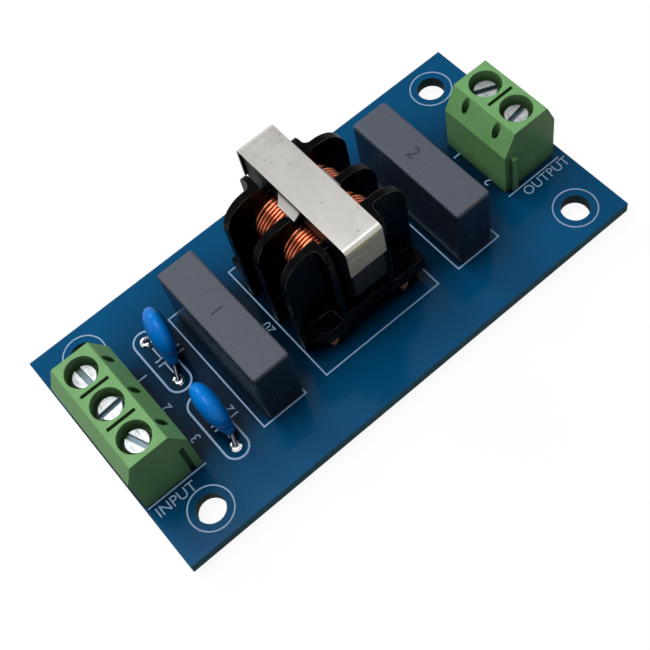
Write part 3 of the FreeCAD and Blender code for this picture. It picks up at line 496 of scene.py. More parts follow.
class Palette:
    """Every finish of the filter."""

    ZINC = (216, 219, 220)

    # The mask's colour carries painted shade round the parts on the board.
    MASK = SolderMask("mask_blue", (0, 86, 134), 0.12, tint=0.04, relief=0.0012, specular=0.13,
                      shade_reach=9.0, shade_depth=0.08)
    # The green carries painted shade in the screw wells and corners.
    GREEN = Finish("terminal_green", (124, 180, 114), 0.42, grain=0.12, tint=0.04, relief=0.003, specular=0.3,
                   edge_round=0.09, shade_reach=3.0, shade_depth=0.35)
    CASE = MouldedCase("case_grey", (87, 93, 106), 0.55, grain=0.14, tint=0.05, relief=0.004, specular=0.3,
                       edge_round=0.09)
    RESIN = Finish("potting_resin", (58, 58, 62), 0.4, grain=0.5, relief=0.01)
    # The enamel carries painted shade in corners and near its neighbours.
    ENAMEL = Finish("disc_enamel", (0, 134, 236), 0.2, coat=0.15, coat_rough=0.08, grain=0.9, tint=0.03,
                    relief=0.004, specular=0.08, shade_reach=3.0, shade_depth=0.4)
    CLIP = RolledSheet("clip_tin", (236, 233, 227), 0.3, metal=1.0, tint=0.04, relief=0.0003, edge_round=0.06)
    FERRITE = Finish("core_ferrite", (11, 15, 21), 0.42, grain=0.1, tint=0.2, relief=0.006, specular=0.1,
                     edge_round=0.06)
    # The bobbin's edges carry a painted highlight in light grey.
    BOBBIN = Finish("bobbin_black", (4, 5, 7), 0.24, grain=0.3, tint=0.25, relief=0.002, specular=0.06,
                    edge_round=0.05, edge_highlight=(104, 106, 112))
    COPPER = Finish("enamelled_copper", (202, 112, 76), 0.22, metal=1.0, coat=0.4, grain=0.3, tint=0.1,
                    relief=0.001)
    # The windings' copper darkened: painted shade for the wire ends under the rails.
    SHADED_WIRE_END = Finish("wire_end", (96, 66, 54), 0.2, metal=1.0, grain=0.2, tint=0.1, relief=0.001)
    TINNED = Finish("tinned_wire", (140, 142, 148), 0.25, metal=1.0, grain=0.2, tint=0.08, relief=0.002)
    DULL_WIRE = Finish("dull_wire", (74, 78, 86), 0.3, metal=1.0, grain=0.2, tint=0.1, relief=0.002)
    SOLDER = Finish("solder", (214, 216, 220), 0.14, metal=1.0, grain=0.35, tint=0.05, relief=0.006)
    CLAMP = Finish("clamp_nickel", (150, 150, 148), 0.32, metal=1.0, grain=0.25, tint=0.06, relief=0.003)
    CONTACT = Finish("contact_brass", (186, 176, 140), 0.3, metal=1.0, grain=0.25, tint=0.05, relief=0.002)
    INK = Finish("board_ink", (146, 178, 212), 0.5, grain=0.08, tint=0.05, relief=0.004)
    CASE_INK = Finish("case_ink", (28, 30, 36), 0.6, grain=0.08, tint=0.08, relief=0.003)

    @staticmethod
    def screw(centre_x: float, centre_y: float, number: str) -> TurnedMetal:
        """The finish of one screw, about its own axis.

        Args:
            centre_x: The axis.
            centre_y: The axis.
            number: What the material's name ends with.

        Returns:
            The finish.
        """
        return TurnedMetal(f"zinc_{number}", Palette.ZINC, 0.34, metal=1.0, tint=0.08, relief=0.0004,
                           edge_round=0.05, centre_x=centre_x, centre_y=centre_y)


def dress(node: str, finish: Finish) -> None:
    """Give a node of the solids its finish.

    Args:
        node: The node's name.
        finish: The finish.
    """
    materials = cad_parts[node].data.materials
    materials.clear()
    materials.append(finish.material())


def link(name: str, data: bpy.types.ID) -> bpy.types.Object:
    """Make an object at the origin and put it in the scene.

    Args:
        name: The object's name.
        data: Its mesh, light or camera.

    Returns:
        The object.
    """
    made = bpy.data.objects.new(name, data)
    bpy.context.scene.collection.objects.link(made)
    return made


def circle(count: int) -> Array:
    """Angles of equal steps once round.

    Args:
        count: How many.

    Returns:
        The angles.
    """
    return np.linspace(0, FULL_TURN, count, endpoint=False)


def surface(points: Array, around: bool = False, along: bool = False, caps: bool = False) -> Mesh:
    """A mesh over a grid of points, one quad between each four neighbours.

    The grid's first index runs along and its second around.

    Args:
        points: Grid of positions, rows by columns by three.
        around: Whether the last column joins the first.
        along: Whether the last row joins the first.
        caps: Whether a face closes the first row and another the last.

    Returns:
        The mesh, in metres.
    """
    rows, columns = points.shape[:2]
    index = np.arange(rows * columns).reshape(rows, columns)
    here = index if along else index[:-1]
    next_row = np.roll(index, -1, axis=0) if along else index[1:]
    quads = np.stack([here, np.roll(here, -1, axis=1), np.roll(next_row, -1, axis=1), next_row], axis=-1)
    if not around:
        quads = quads[:, :-1]
    faces = quads.reshape(-1, 4).tolist()
    if caps:
        faces += [index[0][::-1].tolist(), index[-1].tolist()]
    mesh = bpy.data.meshes.new("surface")
    mesh.from_pydata((points.reshape(-1, 3) * MM).tolist(), [], faces)
    mesh.update()
    return mesh


def tidy(mesh: Mesh, merge: float = 1e-4, smooth: bool = True) -> Mesh:
    """Merge points that coincide, turn all faces outwards and set the shading.

    Args:
        mesh: The mesh to clean.
        merge: Distance below which points merge.
        smooth: Whether the faces shade smoothly.

    Returns:
        The same mesh.
    """
    work = bmesh.new()
    work.from_mesh(mesh)
    bmesh.ops.remove_doubles(work, verts=work.verts, dist=merge * MM)
    bmesh.ops.dissolve_degenerate(work, edges=work.edges, dist=merge * MM)
    bmesh.ops.recalc_face_normals(work, faces=work.faces)
    work.to_mesh(mesh)
    work.free()
    mesh.polygons.foreach_set("use_smooth", np.full(len(mesh.polygons), smooth))
    mesh.update()
    return mesh


def piece(name: str, meshes: list[Mesh], finish: Finish,
          replaced: tuple[str, ...] = ()) -> None:
    """Join meshes into one piece that rides on the base, with its finish.

    Args:
        name: The piece's name.
        meshes: Its parts, already in place.
        finish: Its finish.
        replaced: Nodes of the solids that it stands for.
    """
    work = bmesh.new()
    for mesh in meshes:
        work.from_mesh(mesh)
    joined = bpy.data.meshes.new(name)
    work.to_mesh(joined)
    work.free()
    for mesh in meshes:
        bpy.data.meshes.remove(mesh)
    made = link(name, joined)
    joined.materials.append(finish.material())
    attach(made, BODY)
    if replaced:
        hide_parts(*replaced)
    log.info("%s: %d faces", name, len(joined.polygons))


def oval(centre_x: float, centre_y: float, half_x: float, half_y: float, corner: float, count: int) -> Array:
    """A plan rectangle with round corners.

    Each corner is a quarter circle of equal steps about its own centre, taken in turn round the rectangle.

    Args:
        centre_x: Its middle.
        centre_y: Its middle.
        half_x: Half of its size.
        half_y: Half of its size.
        corner: Radius of its corners.
        count: Points in each corner.

    Returns:
        Points, n by two, anticlockwise.
    """
    quarter = np.arange(4)[:, None] * QUARTER_TURN + np.linspace(0, QUARTER_TURN, count)[None, :]
    sign_x = np.array([1, -1, -1, 1])[:, None]
    sign_y = np.array([1, 1, -1, -1])[:, None]
    x = centre_x + sign_x * (half_x - corner) + corner * np.cos(quarter)
    y = centre_y + sign_y * (half_y - corner) + corner * np.sin(quarter)
    return np.stack([x, y], axis=-1).reshape(-1, 2)


def tube(path: Array, radius: Array, across: Array, sides: int) -> Mesh:
    """A round wire along a path.

    Each point has a circle on two directions square to the path: the path's direction crossed with a fixed one,
    and that crossed with the path again.

    Args:
        path: Points, n by three.
        radius: Radius at each point.
        across: A direction that the path never follows.
        sides: Points round the wire.

    Returns:
        The mesh.
    """
    along = np.gradient(path, axis=0)
    along /= np.linalg.norm(along, axis=1, keepdims=True)
    first = np.cross(along, across)
    first /= np.linalg.norm(first, axis=1, keepdims=True)
    second = np.cross(first, along)
    angle = circle(sides)
    ring = np.cos(angle)[None, :, None] * first[:, None] + np.sin(angle)[None, :, None] * second[:, None]
    grid = path[:, None] + ring * np.broadcast_to(radius, (len(path),))[:, None, None]
    return tidy(surface(grid, around=True, caps=True))


def turned(profile: Array, centre_x: float, centre_y: float, count: int = 32) -> Mesh:
    """A shape turned about an upright axis.

    Each point of the profile, a radius and a height, goes once round the axis in equal steps.

    Args:
        profile: Radius and height of each point, n by two.
        centre_x: The axis.
        centre_y: The axis.
        count: Steps round it.

    Returns:
        The mesh.
    """
    angle = circle(count)
    x = centre_x + profile[:, None, 0] * np.cos(angle)[None, :]
    y = centre_y + profile[:, None, 0] * np.sin(angle)[None, :]
    z = np.broadcast_to(profile[:, None, 1], x.shape)
    return tidy(surface(np.stack([x, y, z], axis=-1), around=True, caps=True))


@dataclass(frozen=True)
class Lettering:
    """Printed numerals and plain words."""

    text: str
    centre_x: float
    centre_y: float
    high: float
    turn: float
    level: float
    thick: float

    def mesh(self) -> Mesh:
        """The raised print, centred on its place and turned in plan, as a mesh."""
        curve = bpy.data.curves.new("print", "FONT")
        curve.body = self.text
        curve.size = self.high * MM / FONT_CAPITAL
        curve.extrude = self.thick * MM / 2
        curve.align_x = "CENTER"
        curve.align_y = "CENTER"
        curve.resolution_u = 3
        holder = bpy.data.objects.new("print", curve)
        mesh = bpy.data.meshes.new_from_object(holder)
        bpy.data.objects.remove(holder)
        mesh.transform(Matrix.Translation((self.centre_x * MM, self.centre_y * MM, self.level * MM))
                       @ Matrix.Rotation(math.radians(self.turn), 4, "Z"))
        return tidy(mesh, smooth=False)


@dataclass
class Board:
    """The blue board with its printed outlines, rings, symbols and numbers.

    An outline is its lowest and highest X and Y. A rule is its ends along X and its Y. Pads are the Y of both. A
    word is its text, its middle, its height and its turn.
    """

    ink_high: float = 0.03
    ink_sunk: float = 0.01
    line: float = 0.18
    hole_span_x: float = 27.35
    hole_span_y: float = 12.7
    hole_shift: float = 0.45
    ring_radius: float = 2.65
    pad_half: float = 1.5
    pad_line: float = 0.24
    symbol_x: float = -20.34
    symbol_half: float = 2.2
    plate_gap: float = 0.34
    plate_half: float = 0.85
    outlines: tuple[tuple[float, ...], ...] = ((-16.70, -10.66, -9.21, 9.49), (12.41, 18.72, -9.27, 9.40),
                                               (-7.53, 9.43, -9.11, 9.58))
    rules: tuple[Point, ...] = ((-32.2, -24.2, -8.1), (23.4, 31.5, -6.1))
    pads: tuple[tuple[float, float], ...] = ((2.21, 8.91), (-8.86, -2.10))
    words: tuple[tuple[str, float, float, float, float], ...] = (
        ("1", -23.41, 5.38, 1.25, 90), ("2", -23.54, 0.33, 1.25, 90), ("3", -23.24, -4.95, 1.25, 90),
        ("11", -18.16, 5.55, 1.2, 90), ("12", -18.30, -5.24, 1.2, 90), ("1", 23.28, 2.69, 1.25, 90),
        ("2", 23.31, -2.78, 1.25, 90), ("20", -8.62, 0.22, 1.2, 90),
        ("INPUT", -29.15, -9.29, 1.3, 0), ("OUTPUT", 28.6, -7.1, 1.25, 0))

    def strip(self, line: Array, closed: bool = True, width: float | None = None) -> Mesh:
        """A printed line, raised above the board's top and slightly sunk into it.

        Each point moves along its mitre, half a width to each side, at both levels.

        Args:
            line: Plan points, n by two.
            closed: Whether it closes on itself.
            width: Its width, or None for the usual one.

        Returns:
            The mesh.
        """
        line = line[np.linalg.norm(line - np.roll(line, 1, axis=0), axis=1) > 1e-6]
        ahead = np.roll(line, -1, axis=0) - line
        behind = line - np.roll(line, 1, axis=0)
        if not closed:
            ahead[-1] = behind[-1]
            behind[0] = ahead[0]
        ahead /= np.linalg.norm(ahead, axis=1, keepdims=True)
        behind /= np.linalg.norm(behind, axis=1, keepdims=True)
        turn = np.array([[0.0, 1.0], [-1.0, 0.0]])
        side_a, side_b = ahead @ turn, behind @ turn
        mitre = (side_a + side_b) / (1 + np.sum(side_a * side_b, axis=1, keepdims=True))
        aside = mitre * (width or self.line) / 2
        left, right = line + aside, line - aside
        flat = np.stack([left, right, right, left], axis=1)
        low, high = BOARD_TOP - self.ink_sunk, BOARD_TOP + self.ink_high
        level = np.broadcast_to(np.array([low, low, high, high]), flat.shape[:2])
        grid = np.concatenate([flat, level[..., None]], axis=2)
        return tidy(surface(grid, around=True, along=closed, caps=not closed), smooth=False)

    def symbol(self, low: float, high: float) -> list[Mesh]:
        """A capacitor's sign: a stub from each pad to its own plate.

        Args:
            low: Y where the lower stub starts.
            high: Y where the upper stub starts.

        Returns:
            The meshes.
        """
        x = self.symbol_x
        made = []
        for start, sign in ((low, -1), (high, 1)):
            plate = (low + high) / 2 + sign * self.plate_gap
            ends = [[x - self.plate_half, plate], [x + self.plate_half, plate]]
            made += [self.strip(np.array(line), closed=False) for line in ([[x, start], [x, plate]], ends)]
        return made

    def build(self) -> None:
        """Dress the board and print it."""
        dress("circuit_board", Palette.MASK)
        prints = [self.strip(np.array([[left, low], [right, low], [right, high], [left, high]]))
                  for left, right, low, high in self.outlines]
        prints += [self.strip(np.array([[left, y], [right, y]]), closed=False) for left, right, y in self.rules]
        ring = self.ring_radius
        prints += [self.strip(oval(self.hole_shift + sign_x * self.hole_span_x, sign_y * self.hole_span_y,
                                   ring, ring, ring, 16)) for sign_x in (-1, 1) for sign_y in (-1, 1)]
        half = self.pad_half
        for low, high in self.pads:
            middle = (low + high) / 2
            prints.append(self.strip(oval(DISC_PAD_X, middle, half, (high - low) / 2 + half, half, 14),
                                     width=self.pad_line))
            prints += self.symbol(middle - self.symbol_half, middle + self.symbol_half)
        prints += [Lettering(*word, BOARD_TOP + self.ink_high / 2, self.ink_high).mesh() for word in self.words]
        piece("board_print", prints, Palette.INK)


@dataclass
class Terminal:
    """One screw terminal block with its screws, clamps and contact strips."""

    side: Side
    poles: int

    def build(self) -> None:
        """Dress the block and everything in it."""
        name = self.side.value
        dress(f"{name}_terminal_housing", Palette.GREEN)
        dress(f"{name}_contact_pins", Palette.CONTACT)
        for number in range(1, self.poles + 1):
            low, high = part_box(f"{name}_screw_{number}")
            middle = (low + high) / 2 / MM
            dress(f"{name}_screw_{number}", Palette.screw(middle.x, middle.y, f"{name}_{number}"))
            dress(f"{name}_clamp_{number}", Palette.CLAMP)


@dataclass
class FilmCapacitor:
    """A film capacitor in its moulded box, with two moulding pips and a printed numeral."""

    side: Side
    pips: tuple[tuple[float, float], ...]
    numeral: str
    numeral_place: tuple[float, float]
    pip_radius: float = 0.16
    pip_high: float = 0.06
    pip_sunk: float = 0.1
    ink_lift: float = 0.006
    ink_thick: float = 0.02
    ink_high: float = 1.7

    def build(self) -> None:
        """Dress the box, add its pips and print its numeral."""
        name = self.side.value
        dress(f"{name}_film_case", Palette.CASE)
        dress(f"{name}_film_potting", Palette.RESIN)
        dress(f"{name}_film_leads", Palette.TINNED)
        low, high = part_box(f"{name}_film_case")
        turn = circle(20)
        angle = np.linspace(0, QUARTER_TURN, 6)
        reach = self.pip_radius * np.cos(angle)[:, None]
        out = np.broadcast_to((low.y / MM - self.pip_high * np.sin(angle))[:, None], (len(angle), len(turn)))
        pips = []
        for x, z in self.pips:
            grid = np.stack([x + reach * np.cos(turn), out, z + reach * np.sin(turn)], axis=-1)
            back = grid[:1] + np.array([0, self.pip_sunk, 0])
            pips.append(tidy(surface(np.concatenate([back, grid]), around=True, caps=True)))
        piece(f"{name}_film_pips", pips, Palette.CASE)
        level = high.z / MM + self.ink_lift
        mark = Lettering(self.numeral, *self.numeral_place, self.ink_high, -90, level, self.ink_thick).mesh()
        piece(f"{name}_film_numeral", [mark], Palette.CASE_INK)


@dataclass
class DiscCapacitor:
    """A ceramic disc in glossy enamel whose skirt runs down both leads, with a dot of solder at each lead."""

    name: str
    x: float
    y: float
    yaw: float
    lean: float
    pad_y: float
    radius: float = 3.05
    thick: float = 1.36
    centre_z: float = BOARD_TOP + 4.75
    run_spread: float = 2.2
    run_start: float = 1.7
    run_end: float = 4.0
    run_wide: float = 1.08
    run_tip: float = 0.56
    run_inner: float = 0.56
    run_even: float = 0.86
    edge_power: float = 2.4
    dot_wide: float = 0.78
    dot_shrink: float = 0.42
    dot_high: float = 0.34
    dot_sunk: float = 0.05
    pad_half: float = 3.375

    def run(self, sign: int) -> Mesh:
        """The enamel that ran down one lead: a tapering drop.

        Its path bends to the lead with the square root of the way down. Its radius falls evenly, then like a
        circle's arc at the tip.

        Args:
            sign: Minus one or one, for the lead.

        Returns:
            The mesh, about the disc's middle.
        """
        even_to, inner = self.run_even, self.run_inner
        last = even_to + (1 - even_to) * np.sin(np.linspace(0.2, 1, 6) * QUARTER_TURN)
        way = np.concatenate([np.linspace(0, even_to, 12), last])
        across = self.run_spread * (inner + (1 - inner) * np.sqrt(way))
        radius = self.run_wide + (self.run_tip - self.run_wide) * way
        radius *= np.sqrt(1 - np.clip((way - even_to) / (1.002 - even_to), 0, 1) ** 2)
        drop = -self.run_start - (self.run_end - self.run_start) * way
        path = np.stack([np.zeros_like(way), sign * across, drop], axis=1)
        return tube(path, radius, np.array([1.0, 0.0, 0.0]), 20)

    def build(self) -> None:
        """Make the enamelled lens and its solder dots, and dress the leads.

        The lens is a grid of share outwards and angle; its half thickness falls like the root of one minus the
        share to the power 2.4.
        """
        angle = circle(64)
        share = np.sin(np.linspace(0, QUARTER_TURN, 18))
        distance = share[:, None] * self.radius
        half = self.thick * np.sqrt(np.clip(1 - share ** self.edge_power, 0, 1))[:, None] * np.ones_like(angle)
        front = np.stack([half, distance * np.cos(angle), distance * np.sin(angle)], axis=-1)
        grid = np.concatenate([front, front[:0:-1][1:] * np.array([-1, 1, 1]), front[:1] * np.array([-1, 1, 1])])
        lens = tidy(surface(grid, around=True), 1e-3)
        place = (Matrix.Translation((self.x * MM, self.y * MM, self.centre_z * MM))
                 @ Matrix.Rotation(math.radians(self.yaw), 4, "Z")
                 @ Matrix.Rotation(math.radians(self.lean), 4, "Y"))
        coat = [lens] + [self.run(sign) for sign in (-1, 1)]
        for part in coat:
            part.transform(place)
        piece(f"{self.name}_disc_enamel", coat, Palette.ENAMEL,
              (f"{self.name}_disc_capacitor",))
        dress(f"{self.name}_disc_leads", Palette.DULL_WIRE)
        rise = np.linspace(0, 1, 8)
        dome = np.stack([self.dot_wide - self.dot_shrink * rise ** 1.6,
                         BOARD_TOP + self.dot_high * np.sin(rise * QUARTER_TURN)], axis=1)
        profile = np.vstack([[self.dot_wide, BOARD_TOP - self.dot_sunk], dome])
        dots = [turned(profile, DISC_PAD_X, self.pad_y + sign * self.pad_half) for sign in (-1, 1)]
        piece(f"{self.name}_disc_solder", dots, Palette.SOLDER)


@dataclass
class Winding:
    """One winding of the choke: round wire laid in a helix over the layers beneath."""

    name: str
    middle_y: float
    centre_x: float = 0.98
    tube_half: float = 2.95
    tube_low: float = BOARD_TOP + 8.3
    tube_high: float = BOARD_TOP + 12.6
    tube_corner: float = 0.6
    build_up: float = 2.9
    width: float = 3.905
    pitch: float = 0.45
    turns: int = 7
    step: float = 0.4
    play: float = 0.008
    wire_points: int = 72
    layer_points: int = 96

    def loop(self, rise: float, count: int) -> Array:
        """Points at equal distances round the tube, a given height above it, starting under it.

        Args:
            rise: Height over the tube.
            count: How many points.

        Returns:
            X and Z, count by two.
        """
        middle_z = (self.tube_low + self.tube_high) / 2
        half_z = (self.tube_high - self.tube_low) / 2
        line = oval(self.centre_x, middle_z, self.tube_half + rise, half_z + rise, self.tube_corner + rise, 16)
        closed = np.vstack([line, line[:1]])
        run = np.concatenate([[0], np.cumsum(np.linalg.norm(np.diff(closed, axis=0), axis=1))])
        keep = np.concatenate([[True], np.diff(run) > 1e-9])
        wanted = np.linspace(0, run[-1], count, endpoint=False)
        spread = np.stack([np.interp(wanted, run[keep], closed[keep][:, axis]) for axis in (0, 1)], axis=1)
        return np.roll(spread, count // 4, axis=0)

    def wire(self, rise: float, start: float, turns: float, pitch: float, radius: float) -> Mesh:
        """A helix: the loop repeated while Y moves on by one pitch a turn.

        Args:
            rise: Height of the wire's middle over the tube.
            start: Y where it begins.
            turns: How many turns.
            pitch: Y from turn to turn.
            radius: The wire's radius.

        Returns:
            The mesh.
        """
        count = self.wire_points
        steps = np.arange(int(turns * count) + 1)
        loop = self.loop(rise, count)[steps % count]
        along = start + pitch * steps / count
        path = np.stack([loop[:, 0], along, loop[:, 1]], axis=1)
        return tube(path, np.array(radius), np.array([0.0, 1.0, 0.0]), 8)

    def build(self) -> None:
        """Lay the outer turns, the lower last turns and the layers beneath."""
        start = self.middle_y - self.width / 2
        radius = self.pitch / 2 - self.play
        outer = self.build_up - radius
        wires = [self.wire(outer, start + self.pitch / 2, self.turns - 1, self.pitch, radius)]
        rest = self.width - self.turns * self.pitch
        wires.append(self.wire(outer - self.step, start + self.turns * self.pitch + rest / 4, 1.5, rest / 2.2,
                               rest / 4.4))
        end = start + self.width
        rise = self.build_up - self.pitch * 0.62
        section = [(0.05, start), (rise, start), (rise, end - rest), (rise - self.step, end - rest),
                   (rise - self.step, end), (0.05, end)]
        count = self.layer_points
        rings = np.stack([np.insert(self.loop(up, count), 1, y, axis=1) for up, y in section], axis=1)
        wires.append(tidy(surface(rings, around=True, along=True), smooth=False))
        piece(f"choke_{self.name}_wire", wires, Palette.COPPER,
              (f"choke_{self.name}_winding",))


@dataclass
class SpringClip:
    """The spring clip over the core: a strip bent down at both ends, with a flared tab on each side."""

    thick: float = 0.28
    bend: float = 0.7
    tab_top: float = 3.8
    tab_low: float = 2.8
    tab_deep: float = 1.75
    tab_flare: float = 0.78
    tab_straight: float = 0.45
    tab_inset: float = 0.02

    def sheet(self, low: Array, high: Array) -> Mesh:
        """The bent strip: up one lip, over the top and down the other lip.

        Both bends are quarter circles of equal steps, and the inner line lies a sheet's thickness inside.

        Args:
            low: Lowest corner of the clip's box.
            high: Its highest corner.

        Returns:
            The mesh.
        """
        angle = np.linspace(2 * QUARTER_TURN, QUARTER_TURN, 9)
        rings = []
        for inset in (0.0, self.thick):
            radius = self.bend - inset
            rise = high[2] - self.bend + radius * np.sin(angle)
            front = np.stack([low[1] + self.bend + radius * np.cos(angle), rise], axis=1)
            rear = np.stack([high[1] - self.bend - radius * np.cos(angle), rise], axis=1)[::-1]
            ends = np.array([[low[1] + inset, low[2]], [high[1] - inset, low[2]]])
            rings.append(np.vstack([ends[:1], front, rear, ends[1:]]))
        outer, inner = rings
        corners = [(outer, low[0]), (outer, high[0]), (inner, high[0]), (inner, low[0])]
        grid = np.stack([np.column_stack([np.full(len(line), x), line]) for line, x in corners], axis=1)
        return tidy(surface(grid, around=True, caps=True), smooth=False)

    def tab(self, side: float, edge: float, middle: float, top: float) -> Mesh:
        """One tab, which leans out with the way down and with its square.

        Args:
            side: Minus one or one, for the side of the strip.
            edge: X of the strip's edge.
            middle: Y of the tab's middle.
            top: The strip's top.

        Returns:
            The mesh.
        """
        way = np.linspace(0, 1, 8)
        lean = self.tab_flare * (self.tab_straight * way + (1 - self.tab_straight) * way ** 2)
        half = (self.tab_top + (self.tab_low - self.tab_top) * way) / 2
        drop = top - self.tab_inset - (self.tab_deep - self.tab_inset) * way
        outside = edge + side * lean
        inside = outside - side * self.thick
        corners = ((outside, -half), (outside, half), (inside, half), (inside, -half))
        grid = np.stack([np.stack([x, middle + y, drop], axis=1) for x, y in corners], axis=1)
        return tidy(surface(grid, around=True, caps=True), smooth=False)

    def build(self) -> None:
        """Bend the strip to the solid clip's box and add both tabs."""
        low, high = (np.array(corner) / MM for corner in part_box("choke_clip"))
        middle = (low[1] + high[1]) / 2
        parts = [self.sheet(low, high)]
        parts += [self.tab(side, edge, middle, high[2]) for side, edge in ((-1.0, low[0]), (1.0, high[0]))]
        piece("choke_clip_sheet", parts, Palette.CLIP, ("choke_clip",))


@dataclass
class Choke:
    """The common mode choke: bobbin, two core halves, two windings and the spring clip."""

    pin_x: tuple[float, float] = (-4.27, 6.23)
    pin_y: tuple[float, float] = (-6.55, 6.85)
    pin_radius: float = 0.35
    wire_radius: float = 0.18
    rail_under: float = BOARD_TOP + 2.5
    wraps: float = 3.25
    coil_low: float = BOARD_TOP + 0.62
    tail_reach: float = 1.25
    tail_sunk: float = 0.1

    def wire_end(self, x: float, y: float, inward: float) -> Mesh:
        """The end of a winding: a helix up its pin, a little over one wire a turn, then straight to the rail.

        Args:
            x: The pin's place.
            y: The pin's place.
            inward: Which way along X the bobbin's middle lies, one or minus one.

        Returns:
            The mesh.
        """
        angle = np.linspace(0, self.wraps * FULL_TURN, 66)
        radius = self.pin_radius + self.wire_radius * 0.92
        climb = self.coil_low + angle / FULL_TURN * self.wire_radius * 2.1
        coil = np.stack([x - inward * radius * np.cos(angle), y + radius * np.sin(angle), climb], axis=1)
        last = coil[-1]
        goal = np.array([x + inward * self.tail_reach, last[1], self.rail_under + self.tail_sunk])
        tail = last + np.linspace(0.15, 1, 8)[:, None] * (goal - last)
        return tube(np.vstack([coil, tail]), np.array(self.wire_radius), np.array([0.0, 0.08, 1.0]), 8)

    def build(self) -> None:
        """Dress the choke's solids and wind it."""
        dress("choke_bobbin", Palette.BOBBIN)
        for name in ("front", "rear"):
            dress(f"choke_{name}_core", Palette.FERRITE)
        SpringClip().build()
        dress("choke_pins", Palette.TINNED)
        middle = sum(self.pin_x) / 2
        ends = [self.wire_end(x, y, math.copysign(1, middle - x)) for x in self.pin_x for y in self.pin_y]
        piece("choke_wire_ends", ends, Palette.SHADED_WIRE_END)
        for name in ("front", "rear"):
            low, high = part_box(f"choke_{name}_winding")
            Winding(name, (low.y + high.y) / 2 / MM, width=(high.y - low.y) / MM).build()


@dataclass
class SolderSide:
    """The fillets under the board, one round each soldered lead."""

    foot: float = 0.55
    tip: float = 0.1
    lead_reach: float = 2.3
    hollow: float = 2.2

    def build(self) -> None:
        """Turn a hollow-flanked fillet at each lead.

        Feet that lie close together belong to one lead. A fillet's radius falls with the rest of the way down to
        the power 2.2.
        """
        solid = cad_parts["solder_joints"].data
        points = np.empty(len(solid.vertices) * 3)
        solid.vertices.foreach_get("co", points)
        points = points.reshape(-1, 3) / MM
        feet = points[points[:, 2] > BOARD_LOW - 0.01][:, :2]
        centres: list[Array] = []
        while len(feet):
            near = np.linalg.norm(feet - feet[0], axis=1) < self.lead_reach
            group = feet[near]
            low, high = group.min(axis=0), group.max(axis=0)
            centres.append(np.append((high + low) / 2, (high - low).max() / 2))
            feet = feet[~near]
        way = np.linspace(0, 1, 9)
        cones = []
        for x, y, wide in centres:
            thin = wide - self.foot + self.tip
            radius = thin + (wide - thin) * (1 - way) ** self.hollow
            profile = np.stack([radius, BOARD_LOW * (1 - way)], axis=1)
            tip = [[thin, 0.08], [thin * 0.8, 0.0]]
            cones.append(turned(np.vstack([profile[:-1], tip]), x, y, 24))
        piece("solder_fillets", cones, Palette.SOLDER, ("solder_joints",))


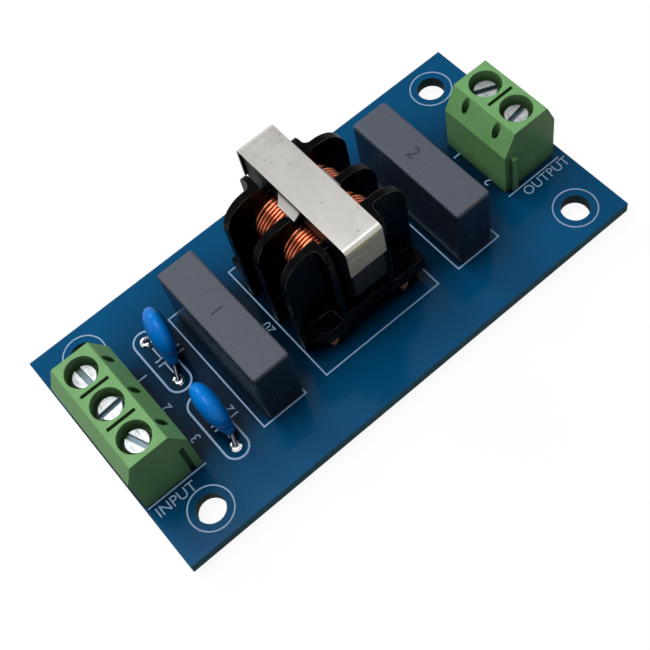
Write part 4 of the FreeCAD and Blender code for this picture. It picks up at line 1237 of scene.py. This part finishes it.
@dataclass
class Studio:
    """White floor, soft lamps, world and the camera."""

    focal: float = 64.7706
    middle_sky: float = 0.45
    ambient: float = 0.07
    floor_glow: float = 0.92
    floor_mirrored: float = 0.5
    floor_half: float = 900.0
    floor_grey: float = 0.12
    eye: Point = (-30.34421, -63.66426, 121.57172)
    right: Point = (0.763715, -0.629145, -0.144626)
    down: Point = (-0.614447, -0.639732, -0.461733)
    ahead: Point = (0.197975, 0.441497, -0.875149)

    def seen(self, graph: Graph, share: object) -> Socket:
        """One to the camera, a share to mirrored and transmitted rays, zero to all others.

        Args:
            graph: The floor's or the world's graph.
            share: The share, an output or a plain value.

        Returns:
            The value.
        """
        path = graph.node("ShaderNodeLightPath").outputs
        mirrored = graph.reckon("MAXIMUM", path["Is Glossy Ray"], path["Is Transmission Ray"])
        return graph.reckon("MAXIMUM", path["Is Camera Ray"], graph.reckon("MULTIPLY", mirrored, share))

    def floor(self) -> None:
        """A wide pale floor that keeps the shadow and is white to the camera."""
        corners = np.array([[[-1, -1, 0], [1, -1, 0]], [[-1, 1, 0], [1, 1, 0]]], float) * self.floor_half
        mesh = surface(corners)
        made = link("floor", mesh)
        graph = Graph(bpy.data.materials.new("floor_white"))
        grey = self.floor_grey
        glow = graph.range(self.seen(graph, self.floor_mirrored), 0.0, 1.0, 0.0, self.floor_glow)
        for name, value in (("Base Color", (grey, grey, grey, 1)), ("Roughness", 0.9), ("Specular IOR Level", 0.0),
                            ("Emission Color", (1, 1, 1, 1)), ("Emission Strength", glow)):
            graph.give(name, value)
        mesh.materials.append(graph.owner)

    def world(self) -> None:
        """Soft light from all round: white past the object.

        In reflections it is white low down and overhead, and dimmer between.
        """
        world = bpy.data.worlds.new("studio")
        bpy.context.scene.world = world
        graph = Graph(world)
        heading = graph.node("ShaderNodeTexCoord").outputs["Generated"]
        rise = graph.part(heading, "Z")
        sky = graph.reckon("ADD", graph.range(rise, 0.35, 0.7, 1.0, self.middle_sky),
                           graph.range(rise, 0.82, 0.93, 0.0, 1.0 - self.middle_sky))
        graph.give("Color", (1, 1, 1, 1))
        graph.give("Strength", graph.reckon("MAXIMUM", self.seen(graph, sky), self.ambient))

    def lamp(self, name: str, place: Point, size: float, power: float) -> None:
        """A square soft lamp that faces the object.

        Args:
            name: Its name.
            place: Where it hangs.
            size: Its side.
            power: Its power in watts.
        """
        light = bpy.data.lights.new(name, "AREA")
        light.size = size * MM
        light.energy = power
        made = link(name, light)
        spot = np.array(place)
        back = spot / np.linalg.norm(spot)
        side = np.cross([0.0, 1.0, 0.0], back)
        side /= np.linalg.norm(side)
        axes = np.stack([side, np.cross(back, side), back], axis=1)
        made.matrix_world = Matrix.Translation(spot * MM) @ Matrix(axes.tolist()).to_4x4()

    def camera(self) -> None:
        """The camera that took the picture, solved from the board's and the blocks' corners."""
        data = bpy.data.cameras.new("camera")
        data.sensor_width = 36.0
        data.lens = self.focal
        data.clip_start = 0.01
        data.clip_end = 10.0
        made = link("camera", data)
        axes = np.stack([self.right, -np.array(self.down), -np.array(self.ahead)], axis=1)
        made.matrix_world = Matrix.Translation(np.array(self.eye) * MM) @ Matrix(axes.tolist()).to_4x4()
        bpy.context.scene.camera = made

    def build(self) -> None:
        """Set the studio up."""
        bpy.context.scene.view_settings.view_transform = "Standard"
        self.floor()
        self.world()
        self.lamp("overhead", (-90, 10, 380), 240, 0.85)
        self.lamp("rear", (-60, 330, 240), 160, 0.5)
        self.lamp("fill", (260, -60, 260), 200, 0.12)
        self.camera()


def main() -> None:
    """Build the filter piece by piece, then the studio round it."""
    logging.basicConfig(level=logging.INFO, format="%(message)s")
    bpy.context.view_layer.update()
    Board().build()
    Terminal(Side.INPUT, 3).build()
    Terminal(Side.OUTPUT, 2).build()
    FilmCapacitor(Side.INPUT, ((-14.19, 7.32), (-12.37, 7.21)), "1", (-13.41, 0.44)).build()
    FilmCapacitor(Side.OUTPUT, ((14.68, 7.51), (16.67, 7.19)), "2", (15.34, 0.83)).build()
    DiscCapacitor("far", -18.95, 6.1, -10.0, 4.5, 5.56).build()
    DiscCapacitor("near", -20.15, -5.25, -2.0, -4.2, -5.48).build()
    Choke().build()
    SolderSide().build()
    Studio().build()


if __name__ == "__main__":
    main()
